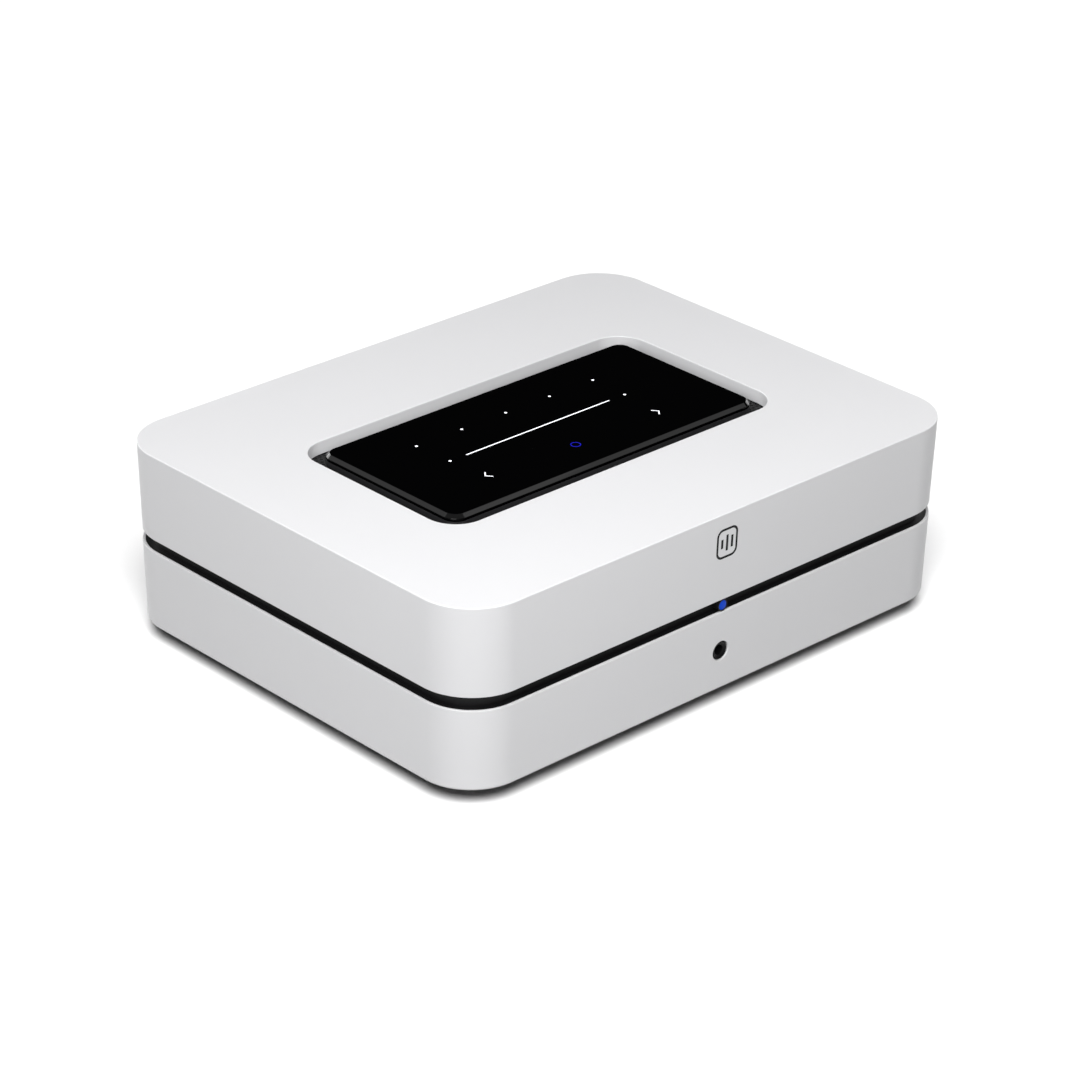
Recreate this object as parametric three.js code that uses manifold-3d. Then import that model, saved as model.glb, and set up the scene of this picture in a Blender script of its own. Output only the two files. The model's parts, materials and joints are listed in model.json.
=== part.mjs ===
// Streaming audio receiver with an amplifier: a two-shell desktop case around a black middle frame,
// a glass touch panel standing in a vented well, speaker posts and sockets at the rear.
//
// Units are millimetres. +Z is up, +Y is the rear, and Z 0 is the surface that the feet stand on.
// Everything is drawn in the case's own frame, whose Y 0 is the middle of the two shells; the last
// group slides it forwards so that the origin is the bottom centre of the whole object.

import * as THREE from "three";
import { mergeVertices } from "three/addons/utils/BufferGeometryUtils.js";
import Module from "manifold-3d";

const wasm = await Module();
wasm.setup();

// ---------------------------------------------------------------- driving sizes

const CASE = {
  width: 220, // at the top face, where the shells are widest
  depth: 171.3,
  top: 70,
  cornerR: 19.7,
  draft: 0.0237, // the sides lean in by this much for each millimetre down
  wall: 3.1,
  upperHeight: 30.8,
  grooveHeight: 3.7,
  standOff: 6, // from the surface to the underside of the lower shell
};
const GAP = 0.3; // between fixed neighbours
const RUN = 0.35; // radial room around what turns or slides
const ARC = 8; // facets in a quarter of a corner

const EDGE = { top: 0.5, grooveUpper: 0.6, grooveLower: 0.8, bottom: 2.5, steps: 3 };
const LIP = { thick: 0.95, rebate: 1.2 }; // the white edge that hides each flange of the middle frame
const FLOOR_LIP = { reach: 8, thick: 2 }; // the lower shell's inward lip that carries the base plate

const WELL = { width: 146.2, depth: 76.3, cornerR: 10.9, deep: 4.7, collar: 1.8 };
const GLASS = { gap: 5.8, thick: 2, bevel: 1.15, drop: 0.1 };
const TRAY = { rim: 2.3, panInset: 8.6, panDeep: 5.8, wall: 1.5 };
const GRILLE = { thick: 1, margin: 1.2, slotWidth: 1.6, slotPitch: 4.6 };
const TOUCH_BOARD_THICK = 1.6;

const FRAME = { thick: 2, overlap: 5, flange: 0.8 };

const REAR = { windowWidth: 176, windowBottom: 15, windowTop: 57, windowR: 5, reach: 12 };
const PANEL = { recess: 5.65, thick: 1.6, flange: 4, rim: 1.5 };

const BASE = { rise: 0.4, thick: 2, flange: 4, flangeThick: 1.6 };
const FOOT = { r: 9, inX: 34, inY: 31.65, spigotR: 3, spigotLong: 3, edge: 1.2 };
const SCREW = { inX: 17, inY: 16.65, shankR: 1.5, headR: 2.8, headThick: 1.8, long: 26 };
const BOSS = { r: 3.6, clear: 0.25, above: 1.1 };

const JACK = { z: 20.9, holeR: 3.4, boreR: 1.8, deep: 11, width: 12, tall: 10 };
const LIGHT = { r: 1.5, setBack: 1.1 };
const FRONT_BOARD = { width: 28, bottom: 14, top: 44, thick: 1.6, plug: 4 };

const POST = {
  pitch: 19.05, // centre to centre, for a standard twin plug
  firstX: 34.5,
  z: 36,
  reach: 18.7, // how far the caps stand behind the case
  collarR: 6,
  collarLong: 4,
  studR: 3,
  boreR: 2.05,
  boreLong: 22,
  wireHoleR: 1.5,
  washerR: 5.4,
  washerThick: 1.4,
  capR: 6.25,
  flute: 0.4,
  flutes: 12,
  open: 5, // the cap's travel from clamped to fully open
  tail: 14,
  blockDeep: 12,
  blockTall: 16,
  blockEnd: 8, // past the outer posts' middles
};
const POST_NAMES = ["right_plus", "right_minus", "left_minus", "left_plus"];

const SWITCH = {
  x: 53.5, z: 36, bezelW: 15, bezelH: 21, bezelThick: 1.8, bodyW: 13, bodyH: 19.8, bodyDeep: 13,
  holeW: 10.6, holeH: 17.8, holeDeep: 9.5, swing: 8, // degrees to each side of level
};
const ROCKER = { halfH: 8.2, end: 3.6, middle: 2.4, back: 3.5, backHalf: 3, pivotR: 1, stub: 0.9 };
const ROCKER_PIVOT_IN = 0.6; // from the panel's outer face to the rocker's axis

const INLET = {
  x: 74, z: 36, flangeW: 22, flangeH: 14, flangeThick: 1.6, bodyW: 19, bodyH: 11, bodyDeep: 15,
  socketW: 15.4, socketH: 8, socketDeep: 11, pinR: 1.2, pinPitch: 8.6, pinLong: 9.5, pinTail: 4,
};

const SOCKETS = {
  proud: 0.5, // how far the flush sockets stand out of the rear panel
  rca: { x: -37.5, bodyW: 10, bodyH: 12, bodyDeep: 12, sleeveR: 4.15, boreR: 3.2, pinR: 2.3,
    pinBore: 1.6, long: 8.2 },
  lan: { x: -52.5, w: 16, h: 13.4, deep: 21, holeW: 12, holeH: 8.4, holeDeep: 13, rise: 2 },
  usb: { x: -69, w: 14.6, h: 7, deep: 18, wall: 0.7, tongueW: 11, tongueH: 1.9, holeDeep: 12 },
  hdmi: { x: -52.5, w: 15, h: 6, deep: 12, wall: 0.6, tongueW: 11, tongueH: 1.3, holeDeep: 8 },
  mini: { lineX: -67.5, irX: -79.5, w: 9, h: 7.4, deep: 13, noseR: 3.1, boreR: 1.8, boreDeep: 12 },
};

// Boards run from behind the front board to the rear panel or the post block. What stands on them is
// placed from a board's front edge (front), from its rear edge (rear) or from the case's middle (y).
const BOARD = { thick: 1.6, behindFront: 6.7, beforePosts: 6, holeIn: 5, sink: 0.2 };
const MAIN = { x0: -88.4, x1: -29, z: 20 };
const STREAMER = { x0: -88.4, x1: -42, long: 58, z: 38 };
const AMP = { x0: -26, x1: 42, z: 14 };
const PSU = { x0: 46, x1: 100, z: 14 };
const PILLAR_R = 2.6;
const SINK = { x0: -20, x1: 36, front: 8, rear: 32, z0: 24, base: 4, top: 54, fins: 10, fin: 1.6 };
const CHOKE = { r: 8, holeR: 3.4, tall: 12, xs: [-6, 22], rear: 18 };
const CORE = { x0: 56, x1: 90, deep: 36, tall: 26, stand: 3, winding: 6 };
const CAN = { r: 9, tall: 30, xs: [60, 84], rear: 15 };
const MAINS_FILTER_DEEP = 26; // the supply board's front stretch, up to the transformer
const ANTENNA = { long: 40, tall: 10, thick: 0.8, y: -5, z: 48 };
const LEAD_R = 0.6;
const RIBBON = { x: -41, width: 12, thick: 0.3, landY: -20 };
const BASE_SLOTS = { count: 9, pitch: 7, width: 3, long: 31, apart: 6 };

// ---------------------------------------------------------------- levels and planes worked out

const Z_TOP = CASE.top;
const Z_UPPER = Z_TOP - CASE.upperHeight; // underside of the upper shell
const Z_LOWER = Z_UPPER - CASE.grooveHeight; // top edge of the lower shell
const LIGHT_Z = (Z_LOWER + Z_UPPER) / 2; // the middle of the groove
const Z_FLOOR = CASE.standOff;
const Z_CEILING = Z_TOP - CASE.wall;
const Z_COLLAR = Z_TOP - WELL.deep; // underside of the well's collar
const Z_GRILLE = Z_COLLAR - GAP; // top of the vent grille
const Z_BASE = Z_FLOOR + BASE.rise;
const Z_BASE_FLANGE = Z_FLOOR + FLOOR_LIP.thick + GAP;
const Z_BASE_TOP = Z_BASE_FLANGE + BASE.flangeThick;
const Z_GLASS = Z_TOP - GLASS.drop;
const Z_TRAY_BOTTOM = Z_GRILLE + GAP;
const Z_TRAY_TOP = Z_TRAY_BOTTOM + TRAY.rim;
const Z_PAN = Z_TRAY_BOTTOM - TRAY.panDeep;
const FRONT = -CASE.depth / 2;
const BACK = CASE.depth / 2;
const PANEL_OUT = BACK - PANEL.recess; // the rear panel's outer face
const PANEL_IN = PANEL_OUT - PANEL.thick;
const POST_END = BACK + POST.reach;
const POST_BLOCK_IN = PANEL_IN - GAP - POST.blockDeep;

// How far the case's outer face has leaned in at a height.
const lean = (z) => (Z_TOP - z) * CASE.draft;

// ---------------------------------------------------------------- solids from three.js geometry

// A closed three.js geometry as a solid for cutting and joining.
function solid(geometry) {
  const bare = geometry.index ? geometry.toNonIndexed() : geometry.clone();
  bare.deleteAttribute("normal");
  bare.deleteAttribute("uv");
  const merged = mergeVertices(bare, 1e-4);
  return new wasm.Manifold(
    new wasm.Mesh({
      numProp: 3,
      vertProperties: merged.attributes.position.array,
      triVerts: new Uint32Array(merged.index.array),
    }),
  );
}

// A solid back as a geometry with flat faces.
function geometryOf(made) {
  const mesh = made.getMesh();
  const geometry = new THREE.BufferGeometry();
  geometry.setAttribute("position", new THREE.BufferAttribute(mesh.vertProperties, 3));
  geometry.setIndex(new THREE.BufferAttribute(mesh.triVerts, 1));
  const flat = geometry.toNonIndexed();
  flat.computeVertexNormals();
  return flat;
}

const join = (first, ...rest) => rest.reduce((made, next) => made.add(next), first);
const cut = (first, ...rest) => rest.reduce((made, next) => made.subtract(next), first);

// A block between two corners.
function block(x0, x1, y0, y1, z0, z1) {
  const box = new THREE.BoxGeometry(x1 - x0, y1 - y0, z1 - z0);
  return solid(box.translate((x0 + x1) / 2, (y0 + y1) / 2, (z0 + z1) / 2));
}

// The points of a rounded rectangle, anticlockwise, with the same count at every size.
function roundedPoints(halfX, halfY, r, facets = ARC) {
  const points = [];
  const centres = [[1, 1], [-1, 1], [-1, -1], [1, -1]];
  centres.forEach(([sx, sy], corner) => {
    for (let i = 0; i <= facets; i++) {
      const a = ((corner + i / facets) * Math.PI) / 2;
      const x = sx * (halfX - r) + r * Math.cos(a);
      points.push(new THREE.Vector2(x, sy * (halfY - r) + r * Math.sin(a)));
    }
  });
  return points;
}

// A straight prism of a rounded rectangle, standing on z0.
function slab(halfX, halfY, r, z0, z1, facets = ARC) {
  const shape = new THREE.Shape(roundedPoints(halfX, halfY, r, facets));
  const made = new THREE.ExtrudeGeometry(shape, { depth: z1 - z0, bevelEnabled: false });
  return solid(made.translate(0, 0, z0));
}

// A prism of a rounded rectangle in the XZ plane, running along Y.
function panelBlock(x, z, width, height, r, y0, y1, facets = 4) {
  const shape = new THREE.Shape(roundedPoints(width / 2, height / 2, r, facets));
  const made = new THREE.ExtrudeGeometry(shape, { depth: y1 - y0, bevelEnabled: false });
  return solid(made.rotateX(Math.PI / 2).translate(x, y1, z));
}

// A stack of rounded rectangles joined up into one closed solid.
function loft(rings) {
  const loops = rings.map((ring) => roundedPoints(ring.halfX, ring.halfY, ring.r));
  const count = loops[0].length;
  const positions = [];
  loops.forEach((loop, k) => loop.forEach((p) => positions.push(p.x, p.y, rings[k].z)));
  const bottom = positions.length / 3;
  positions.push(0, 0, rings[0].z, 0, 0, rings[rings.length - 1].z);
  const index = [];
  const last = (rings.length - 1) * count;
  for (let i = 0; i < count; i++) {
    const j = (i + 1) % count;
    index.push(bottom, j, i, bottom + 1, last + i, last + j);
    for (let k = 0; k < rings.length - 1; k++) {
      const a = k * count;
      index.push(a + i, a + j, a + count + j, a + i, a + count + j, a + count + i);
    }
  }
  const geometry = new THREE.BufferGeometry();
  geometry.setAttribute("position", new THREE.Float32BufferAttribute(positions, 3));
  geometry.setIndex(index);
  return solid(geometry);
}

// The case's outline at height z, taken in by inset from the leaning outer face.
function outline(z, inset = 0) {
  const total = inset + lean(z);
  return {
    halfX: CASE.width / 2 - total,
    halfY: CASE.depth / 2 - total,
    r: CASE.cornerR - total,
    z,
  };
}

const caseSolid = (z0, z1, inset) => loft([outline(z0, inset), outline(z1, inset)]);

// The outlines that round off an outer edge at height z, in order of height.
function edgeRings(z, radius, isTop) {
  const rings = [];
  for (let i = 0; i <= EDGE.steps; i++) {
    const a = (i / EDGE.steps) * (Math.PI / 2);
    const inset = radius * (1 - Math.sin(a));
    const away = radius * (1 - Math.cos(a));
    rings.push(outline(isTop ? z - away : z + away, inset));
  }
  return isTop ? rings.reverse() : rings;
}

// A cylinder along X, Y or Z from one coordinate to another.
function rod(axis, r, from, to, at, sides = 24) {
  const made = new THREE.CylinderGeometry(r, r, to - from, sides).translate(0, (from + to) / 2, 0);
  if (axis === "x") made.rotateZ(-Math.PI / 2);
  if (axis === "z") made.rotateX(Math.PI / 2);
  return solid(made.translate(...at));
}

// A turned shape about the Y axis, from [radius, y] pairs that start and end on the axis.
function turned(profile, sides = 24) {
  const points = profile.map(([r, y]) => new THREE.Vector2(r, y));
  return solid(new THREE.LatheGeometry(points, sides));
}

// A round tube that follows a smooth route.
function tube(points, r, steps, sides = 8) {
  const route = new THREE.CatmullRomCurve3(points.map((p) => new THREE.Vector3(...p)));
  const section = new THREE.Shape();
  for (let i = 0; i < sides; i++) {
    const a = (i / sides) * 2 * Math.PI;
    section[i ? "lineTo" : "moveTo"](r * Math.cos(a), r * Math.sin(a));
  }
  return solid(new THREE.ExtrudeGeometry(section, { steps, extrudePath: route, bevelEnabled: false }));
}

// ---------------------------------------------------------------- materials

const finish = (color, roughness, metalness = 0) =>
  new THREE.MeshStandardMaterial({ color, roughness, metalness });

const MATERIAL = {
  white: finish(0xf0f0f2, 0.42),
  black: finish(0x101011, 0.5),
  frame: finish(0x18181a, 0.45),
  glass: finish(0x020203, 0.06),
  rubber: finish(0x1b1b1c, 0.85),
  steel: finish(0xb8babd, 0.3, 1),
  gold: finish(0xd6b25e, 0.25, 1),
  red: finish(0x9c1a1c, 0.4),
  aluminium: finish(0xc4c6c8, 0.4, 1),
  board: finish(0x14452c, 0.5),
  ferrite: finish(0x35353a, 0.7),
  copper: finish(0xb4693a, 0.4, 0.8),
  ribbon: finish(0xe2e2dc, 0.5),
  light: finish(0x2f6bff, 0.2),
};

// ---------------------------------------------------------------- the case

const SCREW_X = CASE.width / 2 - SCREW.inX;
const SCREW_Y = CASE.depth / 2 - SCREW.inY;
const FOOT_X = CASE.width / 2 - FOOT.inX;
const FOOT_Y = CASE.depth / 2 - FOOT.inY;
const CORNERS = [
  ["front_left", -1, -1], ["front_right", 1, -1], ["rear_left", -1, 1], ["rear_right", 1, 1],
];
const WINDOW_MID = (REAR.windowBottom + REAR.windowTop) / 2;
const WINDOW_TALL = REAR.windowTop - REAR.windowBottom;

// The opening in the rear of both shells, grown on every side by a margin.
function rearWindow(margin, y0, y1) {
  const w = REAR.windowWidth + 2 * margin;
  return panelBlock(0, WINDOW_MID, w, WINDOW_TALL + 2 * margin, REAR.windowR + margin, y0, y1);
}

function upperShell() {
  const outer = loft([
    ...edgeRings(Z_UPPER, EDGE.grooveUpper, false),
    ...edgeRings(Z_TOP, EDGE.top, true),
  ]);
  const hollow = caseSolid(Z_UPPER - 1, Z_CEILING, CASE.wall);
  const rebate = caseSolid(Z_UPPER - 1, Z_UPPER + LIP.rebate, LIP.thick);
  const collar = slab(
    WELL.width / 2 + WELL.collar, WELL.depth / 2 + WELL.collar, WELL.cornerR + WELL.collar,
    Z_COLLAR, Z_CEILING + CASE.wall / 2,
  );
  const opening = slab(WELL.width / 2, WELL.depth / 2, WELL.cornerR, Z_COLLAR - 1, Z_TOP + 1);
  const bosses = CORNERS.map(([, sx, sy]) =>
    rod("z", BOSS.r, Z_BASE_TOP + BOSS.above, Z_CEILING + 0.5, [sx * SCREW_X, sy * SCREW_Y, 0], 16));
  const holes = CORNERS.map(([, sx, sy]) =>
    rod("z", SCREW.shankR + BOSS.clear, Z_BASE_TOP, Z_BASE + SCREW.long + 4,
      [sx * SCREW_X, sy * SCREW_Y, 0], 12));
  const walls = cut(outer, hollow, rebate, rearWindow(0, BACK - REAR.reach, BACK + 1));
  return cut(join(walls, collar, ...bosses), opening, ...holes);
}

function lowerShell() {
  const outer = loft([
    ...edgeRings(Z_FLOOR, EDGE.bottom, false),
    ...edgeRings(Z_LOWER, EDGE.grooveLower, true),
  ]);
  const hollow = caseSolid(Z_FLOOR + FLOOR_LIP.thick, Z_LOWER + 1, CASE.wall);
  const rebate = caseSolid(Z_LOWER - LIP.rebate, Z_LOWER + 1, LIP.thick);
  const opening = caseSolid(Z_FLOOR - 1, Z_FLOOR + FLOOR_LIP.thick + 1, FLOOR_LIP.reach);
  const jackHole = rod("y", JACK.holeR, FRONT - 1, FRONT + 8, [0, 0, JACK.z]);
  return cut(outer, hollow, rebate, opening, jackHole, rearWindow(0, BACK - REAR.reach, BACK + 1));
}

// The black ring that shows in the groove: a web behind both walls, and two flanges on their edges.
function middleFrame() {
  const webOut = CASE.wall + GAP;
  const z0 = Z_LOWER - FRAME.overlap;
  const z1 = Z_UPPER + FRAME.overlap;
  const web = caseSolid(z0, z1, webOut);
  const flangeOut = LIP.thick + GAP;
  const lowerFlange = caseSolid(Z_LOWER - 0.1 - FRAME.flange, Z_LOWER - 0.1, flangeOut);
  const upperFlange = caseSolid(Z_UPPER + 0.1, Z_UPPER + 0.1 + FRAME.flange, flangeOut);
  const inside = caseSolid(z0 - 1, z1 + 1, webOut + FRAME.thick);
  const panelRoom = rearWindow(PANEL.flange + GAP, PANEL_IN - 3, BACK + 1);
  const lightHole = rod("y", LIGHT.r + GAP, FRONT - 1, FRONT + 10, [0, 0, LIGHT_Z]);
  return cut(join(web, lowerFlange, upperFlange), inside, panelRoom, lightHole);
}

function rearPanel() {
  const plate = rearWindow(PANEL.flange, PANEL_IN, PANEL_OUT);
  const rimEnd = BACK - lean(REAR.windowBottom) - CASE.wall - GAP - 0.1;
  const rim = cut(rearWindow(PANEL.rim, PANEL_OUT - 0.5, rimEnd), rearWindow(0, PANEL_IN, BACK));
  const through = (x, z, w, h, r = 0.6) =>
    panelBlock(x, z, w + 2 * GAP, h + 2 * GAP, r, PANEL_IN - 1, PANEL_OUT + 1, 2);
  const s = SOCKETS;
  const holes = [
    through(INLET.x, INLET.z, INLET.bodyW, INLET.bodyH, 2),
    through(SWITCH.x, SWITCH.z, SWITCH.bodyW, SWITCH.bodyH),
    through(s.lan.x, lowRow(s.lan.h), s.lan.w, s.lan.h),
    through(s.usb.x, lowRow(s.usb.h), s.usb.w, s.usb.h),
    through(s.hdmi.x, highRow(s.hdmi.h), s.hdmi.w, s.hdmi.h),
    rod("y", s.mini.noseR + GAP, PANEL_IN - 1, PANEL_OUT + 1, [s.mini.lineX, 0, highRow(s.mini.h)]),
    rod("y", s.mini.noseR + GAP, PANEL_IN - 1, PANEL_OUT + 1, [s.mini.irX, 0, highRow(s.mini.h)]),
    rod("y", s.rca.sleeveR + GAP, PANEL_IN - 1, PANEL_OUT + 1, [s.rca.x, 0, lowRow(s.rca.bodyH)]),
    ...POST_NAMES.map((_, i) =>
      rod("y", POST.collarR + GAP, PANEL_IN - 1, PANEL_OUT + 1, [postX(i), 0, POST.z])),
  ];
  return cut(join(plate, rim), ...holes);
}

// The middle height of a socket that stands on the main board, or on the streaming board above it.
const lowRow = (height) => MAIN.z + BOARD.thick + GAP + height / 2;
const highRow = (height) => STREAMER.z + BOARD.thick + GAP + height / 2;
const postX = (i) => POST.firstX - i * POST.pitch;

function basePlate() {
  const plate = caseSolid(Z_BASE, Z_BASE_FLANGE + 0.1, FLOOR_LIP.reach + 0.4);
  const flange = caseSolid(Z_BASE_FLANGE, Z_BASE_TOP, FLOOR_LIP.reach - BASE.flange);
  const cuts = [];
  for (const [, sx, sy] of CORNERS) {
    const at = [sx * SCREW_X, sy * SCREW_Y, 0];
    cuts.push(rod("z", SCREW.shankR + BOSS.clear, Z_BASE - 1, Z_BASE_TOP + 1, at, 12));
    cuts.push(rod("z", SCREW.headR + BOSS.clear, Z_BASE - 1, Z_BASE + SCREW.headThick + GAP, at, 16));
    cuts.push(rod("z", FOOT.spigotR + GAP, Z_BASE - 1, Z_BASE_TOP + 1,
      [sx * FOOT_X, sy * FOOT_Y, 0], 12));
  }
  const half = BASE_SLOTS.width / 2;
  const near = BASE_SLOTS.apart / 2;
  const far = near + BASE_SLOTS.long;
  for (let i = 0; i < BASE_SLOTS.count; i++) {
    const x = (SINK.x0 + SINK.x1) / 2 + (i - (BASE_SLOTS.count - 1) / 2) * BASE_SLOTS.pitch;
    cuts.push(block(x - half, x + half, -far, -near, Z_BASE - 1, Z_BASE_TOP + 1));
    cuts.push(block(x - half, x + half, near, far, Z_BASE - 1, Z_BASE_TOP + 1));
  }
  const pillars = [MAIN, AMP, PSU].flatMap((board) =>
    pillarSpots(board).map(([x, y]) =>
      rod("z", PILLAR_R, Z_BASE_TOP - 0.5, board.z - GAP, [x, y, 0], 10)));
  return cut(join(plate, flange, ...pillars), ...cuts);
}

// Where a board stands on the base plate's pillars.
function pillarSpots(board) {
  const xs = [board.x0 + BOARD.holeIn, board.x1 - BOARD.holeIn];
  const ys = [BOARDS_FRONT + BOARD.holeIn, AMP_REAR - BOARD.holeIn];
  return xs.flatMap((x) => ys.map((y) => [x, y]));
}

function foot() {
  const top = Z_BASE - GAP;
  return turned([
    [0, 0], [FOOT.r - FOOT.edge, 0], [FOOT.r, FOOT.edge], [FOOT.r, top - FOOT.edge / 2],
    [FOOT.r - FOOT.edge / 2, top], [FOOT.spigotR, top], [FOOT.spigotR, top + FOOT.spigotLong],
    [0, top + FOOT.spigotLong],
  ]);
}

function caseScrew() {
  const drive = rod("y", 1.1, -1, 1, [0, 0, 0], 6);
  const body = turned([
    [0, 0], [SCREW.headR - 0.4, 0], [SCREW.headR, 0.5], [SCREW.headR, SCREW.headThick],
    [SCREW.shankR, SCREW.headThick], [SCREW.shankR, SCREW.long - 1.5], [0.6, SCREW.long],
    [0, SCREW.long],
  ], 16);
  return cut(body, drive);
}

// ---------------------------------------------------------------- the touch panel in its well

const GLASS_X = WELL.width / 2 - GLASS.gap;
const GLASS_Y = WELL.depth / 2 - GLASS.gap;
const GLASS_R = WELL.cornerR - GLASS.gap;
const PAN_X = GLASS_X - TRAY.panInset;
const PAN_Y = GLASS_Y - TRAY.panInset;
const PAN_R = 3;

function touchGlass() {
  const full = { halfX: GLASS_X, halfY: GLASS_Y, r: GLASS_R };
  const small = {
    halfX: GLASS_X - GLASS.bevel, halfY: GLASS_Y - GLASS.bevel, r: GLASS_R - GLASS.bevel / 2,
  };
  return loft([
    { ...full, z: Z_TRAY_TOP + GAP },
    { ...full, z: Z_GLASS - GLASS.bevel },
    { ...small, z: Z_GLASS },
  ]);
}

function touchTray() {
  const rim = slab(GLASS_X, GLASS_Y, GLASS_R, Z_TRAY_BOTTOM, Z_TRAY_TOP);
  const pan = slab(PAN_X, PAN_Y, PAN_R, Z_PAN, Z_TRAY_BOTTOM + 0.5, 4);
  const hollow = slab(
    PAN_X - TRAY.wall, PAN_Y - TRAY.wall, PAN_R - TRAY.wall, Z_PAN + TRAY.wall, Z_TRAY_TOP + 1, 4,
  );
  const ribbonSlot = block(
    RIBBON.x - 1, RIBBON.x + RIBBON.width + 1, -1.5, 1.5, Z_PAN - 1, Z_PAN + TRAY.wall + 1,
  );
  return cut(join(rim, pan), hollow, ribbonSlot);
}

const TRAY_FIT = TRAY.wall + GAP;
const Z_TOUCH_BOARD = Z_PAN + TRAY.wall + GAP;
const Z_MASK = Z_TOUCH_BOARD + TOUCH_BOARD_THICK + GAP;

function touchBoard() {
  const z1 = Z_TOUCH_BOARD + TOUCH_BOARD_THICK;
  return slab(PAN_X - TRAY_FIT, PAN_Y - TRAY_FIT, 1, Z_TOUCH_BOARD, z1, 2);
}

// The places of the lit marks on the panel: presets, volume line and its ends, and the track keys.
const MARKS = {
  presetX: [-2, -1, 0, 1, 2].map((i) => i * 19.7),
  presetY: 15.6,
  lineHalf: 31.9,
  lineEndX: 39,
  keyX: 39,
  keyY: -16.2,
};

function lightMask() {
  const bare = slab(PAN_X - TRAY_FIT, PAN_Y - TRAY_FIT, 1, Z_MASK, Z_TRAY_TOP, 2);
  const hole = (x, y, r) => rod("z", r, Z_MASK - 1, Z_TRAY_TOP + 1, [x, y, 0], 8);
  const holes = [
    ...MARKS.presetX.map((x) => hole(x, MARKS.presetY, 1.4)),
    hole(-MARKS.lineEndX, 0, 1.4), hole(MARKS.lineEndX, 0, 1.4),
    hole(-MARKS.keyX, MARKS.keyY, 2.4), hole(0, MARKS.keyY, 2.8), hole(MARKS.keyX, MARKS.keyY, 2.4),
    block(-MARKS.lineHalf, MARKS.lineHalf, -1.2, 1.2, Z_MASK - 1, Z_TRAY_TOP + 1),
  ];
  return cut(bare, ...holes);
}

// A plate across the well, with a ring of slots in the gap around the glass.
function ventGrille() {
  const halfX = WELL.width / 2 + GRILLE.margin;
  const halfY = WELL.depth / 2 + GRILLE.margin;
  const z0 = Z_GRILLE - GRILLE.thick;
  const plate = slab(halfX, halfY, WELL.cornerR + GRILLE.margin, z0, Z_GRILLE);
  const opening = slab(PAN_X + GAP, PAN_Y + GAP, PAN_R, z0 - 1, Z_GRILLE + 1, 4);
  const slots = [];
  const half = GRILLE.slotWidth / 2;
  const along = (room) => Math.floor(room / GRILLE.slotPitch);
  const nx = along(GLASS_X - 1.5);
  const ny = along(GLASS_Y - 1.5);
  for (let i = -nx; i <= nx; i++) {
    const x = i * GRILLE.slotPitch;
    for (const s of [-1, 1]) {
      const y = [s * (GLASS_Y + 0.6), s * (WELL.depth / 2 - 0.8)].sort((a, b) => a - b);
      slots.push(block(x - half, x + half, y[0], y[1], z0 - 1, Z_GRILLE + 1));
    }
  }
  for (let i = -ny; i <= ny; i++) {
    const y = i * GRILLE.slotPitch;
    for (const s of [-1, 1]) {
      const x = [s * (GLASS_X + 0.6), s * (WELL.width / 2 - 0.8)].sort((a, b) => a - b);
      slots.push(block(x[0], x[1], y - half, y + half, z0 - 1, Z_GRILLE + 1));
    }
  }
  return cut(plate, opening, ...slots);
}

// The flat cable that drops from the touch board to the main board.
function touchRibbon() {
  const top = Z_TOUCH_BOARD - GAP;
  const bottom = MAIN.z + BOARD.thick + 1.2;
  const route = new THREE.CatmullRomCurve3([
    [0, top], [0, top - 8], [-6, (top + bottom) / 2 + 6], [-4, (top + bottom) / 2 - 6],
    [RIBBON.landY + 8, bottom + 4], [RIBBON.landY, bottom],
  ].map(([y, z]) => new THREE.Vector3(0, y, z)));
  const near = [];
  const far = [];
  const steps = 16;
  for (let i = 0; i <= steps; i++) {
    const p = route.getPointAt(i / steps);
    const t = route.getTangentAt(i / steps);
    near.push(new THREE.Vector2(p.y - (t.z * RIBBON.thick) / 2, p.z + (t.y * RIBBON.thick) / 2));
    far.push(new THREE.Vector2(p.y + (t.z * RIBBON.thick) / 2, p.z - (t.y * RIBBON.thick) / 2));
  }
  const shape = new THREE.Shape([...near, ...far.reverse()]);
  const made = new THREE.ExtrudeGeometry(shape, { depth: RIBBON.width, bevelEnabled: false });
  // The drawing's x, y and depth become the part's y, z and x.
  const turn = new THREE.Matrix4().makeBasis(
    new THREE.Vector3(0, 1, 0), new THREE.Vector3(0, 0, 1), new THREE.Vector3(1, 0, 0),
  );
  return solid(made.applyMatrix4(turn).translate(RIBBON.x, 0, 0));
}

// ---------------------------------------------------------------- the front

const FRONT_WALL_IN = FRONT + lean(JACK.z) + CASE.wall; // inner face of the lower shell at the jack
const FRONT_BOARD_Y = FRONT_WALL_IN + GAP + JACK.deep + GAP;
const FRONT_PLUG_END = FRONT_BOARD_Y + FRONT_BOARD.thick + FRONT_BOARD.plug;
const BOARDS_FRONT = FRONT_PLUG_END + BOARD.behindFront; // front edge of the big boards
const AMP_REAR = POST_BLOCK_IN - BOARD.beforePosts; // rear edge of the amplifier and supply boards
const STREAMER_FRONT = PANEL_IN - GAP - STREAMER.long;

function headphoneSocket() {
  const y0 = FRONT + lean(JACK.z) + 0.4;
  const bodyY = FRONT_WALL_IN + GAP;
  const barrel = rod("y", JACK.holeR - GAP / 2, y0, bodyY + 1, [0, 0, JACK.z]);
  const half = JACK.width / 2;
  const body = block(-half, half, bodyY, bodyY + JACK.deep, JACK.z - JACK.tall / 2,
    JACK.z + JACK.tall / 2);
  const bore = rod("y", JACK.boreR, y0 - 1, bodyY + JACK.deep - 1, [0, 0, JACK.z], 16);
  return cut(join(barrel, body), bore);
}

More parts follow.
